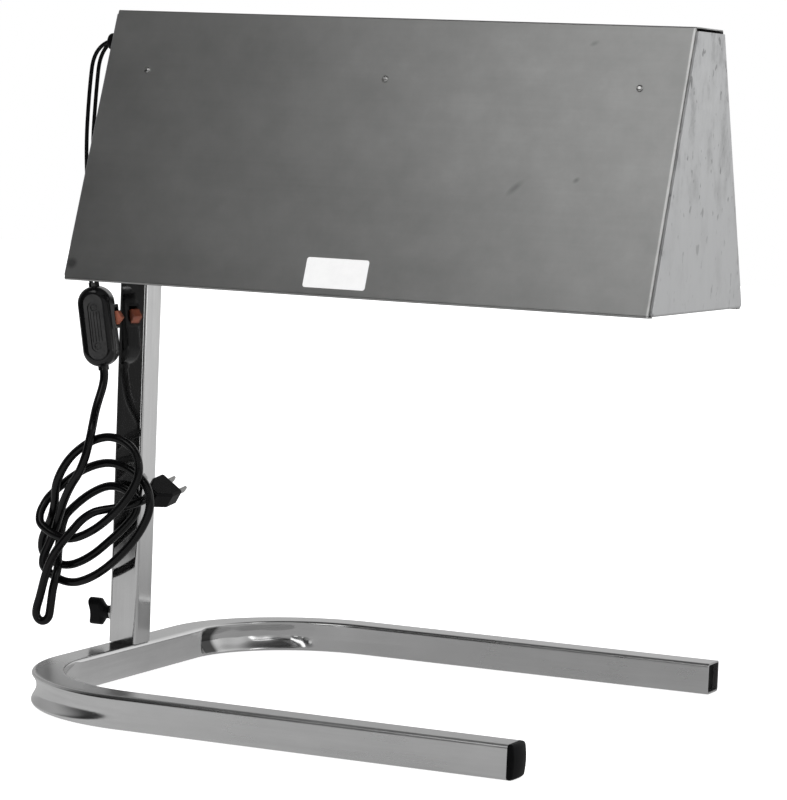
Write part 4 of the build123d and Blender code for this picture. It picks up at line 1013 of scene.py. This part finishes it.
def studio_world():
    """White to the camera and through glass; in metal the room is pale behind and dark to the front left.

    A low glow stands at the left and the ceiling is dark.
    """
    world = bpy.data.worlds.new("studio_world")
    world.use_nodes = True
    tree = world.node_tree
    tree.nodes.clear()
    rays = node(tree, "ShaderNodeLightPath").outputs
    way = node(tree, "ShaderNodeTexCoord").outputs["Generated"]
    facing, height = along(tree, REAR_RIGHT, way), along(tree, (0, 0, 1), way)
    walls = [(0.0, 0.015), (0.20, 0.04), (0.45, 0.36), (0.725, 0.46), (1.0, 0.92)]
    room = tint(tree, span(tree, facing, -1.0, 1.0), *[(place, grey(value)) for place, value in walls])
    ceiling = span(tree, height, 0.66, 0.90, 1.0, 0.12)
    leftward = product(tree, span(tree, facing, -0.85, -0.60), span(tree, facing, -0.45, -0.10, 1.0, 0.0))
    glow = product(tree, leftward, span(tree, height, 0.42, 0.62, 0.28, 0.0))
    sky = {"Color": total(tree, room, glow), "Strength": ceiling}
    mirrored = node(tree, "ShaderNodeBackground", sky).outputs["Background"]
    soft = node(tree, "ShaderNodeBackground", {"Color": (0.92, 0.92, 0.93, 1)}).outputs["Background"]
    white = node(tree, "ShaderNodeBackground", {"Color": (1, 1, 1, 1)}).outputs["Background"]
    lit = mixed(tree, rays["Is Glossy Ray"], soft, mirrored)
    straight = math_node(tree, "MAXIMUM", rays["Is Camera Ray"], rays["Is Transmission Ray"])
    node(tree, "ShaderNodeOutputWorld", {"Surface": mixed(tree, straight, lit, white)})
    return world


def soft_box(name, place, aim, size, power):
    """Rectangular area light at a place, turned towards aim."""
    lamp = bpy.data.lights.new(name, "AREA")
    lamp.shape = "RECTANGLE"
    lamp.size, lamp.size_y = size
    lamp.energy = power
    light = bpy.data.objects.new(name, lamp)
    light.location = place
    way = np.subtract(aim, place)
    light.rotation_euler = (math.acos(-way[2] / np.linalg.norm(way)), 0, math.atan2(-way[0], way[1]))
    bpy.context.scene.collection.objects.link(light)
    return light


class WARMER_OT_stage(bpy.types.Operator):
    """Sets out the floor, the light and the camera"""

    bl_idname = "warmer.stage"
    bl_label = "Stage and camera"

    def execute(self, context):
        scene, sizes = context.scene, context.scene.warmer_stage
        scene.view_settings.view_transform = "Standard"
        scene.world = studio_world()
        half = sizes.floor / 2
        mesh = bpy.data.meshes.new("studio_floor")
        corners = ((-half, -half), (half, -half), (half, half), (-half, half))
        mesh.from_pydata([(x, y, -FLOOR_DROP) for x, y in corners], [], [(0, 1, 2, 3)])
        mesh.materials.append(floor_finish())
        floor = bpy.data.objects.new("studio_floor", mesh)
        scene.collection.objects.link(floor)
        soft_box("key_box", *LIGHTS["key_box"], sizes.key)
        fill = soft_box("fill_box", *LIGHTS["fill_box"], sizes.fill)
        fill.visible_glossy = False
        soft_box("right_card", *LIGHTS["right_card"], sizes.card * RIGHT_CARD_SHARE)
        soft_box("front_card", *LIGHTS["front_card"], sizes.card * FRONT_CARD_SHARE)
        eye = bpy.data.cameras.new("camera")
        eye.sensor_fit = "HORIZONTAL"
        eye.sensor_width = 36
        eye.lens = sizes.lens
        eye.shift_x, eye.shift_y = sizes.shift
        eye.clip_start, eye.clip_end = 0.05, 60
        camera = bpy.data.objects.new("camera", eye)
        camera.location = sizes.place
        camera.rotation_euler = sizes.turn
        scene.collection.objects.link(camera)
        scene.camera = camera
        return {"FINISHED"}


class WARMER_PT_panel(bpy.types.Panel):
    """Lists the pieces of the food warmer"""

    bl_idname = "WARMER_PT_panel"
    bl_label = "Food Warmer"
    bl_space_type = "VIEW_3D"
    bl_region_type = "UI"
    bl_category = "Food Warmer"

    def draw(self, context):
        for operator in OPERATORS:
            self.layout.operator(operator.bl_idname)


OPERATORS = (
    WARMER_OT_hood,
    WARMER_OT_frame,
    WARMER_OT_lamps,
    WARMER_OT_switch,
    WARMER_OT_cords,
    WARMER_OT_stage,
)
GROUPS = {
    "warmer_tube": TubeSizes,
    "warmer_cords": CordSizes,
    "warmer_finishes": Finishes,
    "warmer_stage": StageSizes,
}


def register():
    """Registers the groups, operators and panel."""
    for name, group in GROUPS.items():
        bpy.utils.register_class(group)
        setattr(bpy.types.Scene, name, PointerProperty(type=group))
    for kind in (*OPERATORS, WARMER_PT_panel):
        bpy.utils.register_class(kind)


def unregister():
    """Removes what register added."""
    for kind in (WARMER_PT_panel, *reversed(OPERATORS)):
        bpy.utils.unregister_class(kind)
    for name, group in GROUPS.items():
        delattr(bpy.types.Scene, name)
        bpy.utils.unregister_class(group)


def main():
    """Makes every piece in order."""
    register()
    bpy.ops.warmer.hood()
    bpy.ops.warmer.frame()
    bpy.ops.warmer.lamps()
    bpy.ops.warmer.switch()
    bpy.ops.warmer.cords()
    bpy.ops.warmer.stage()


if __name__ == "__main__":
    main()
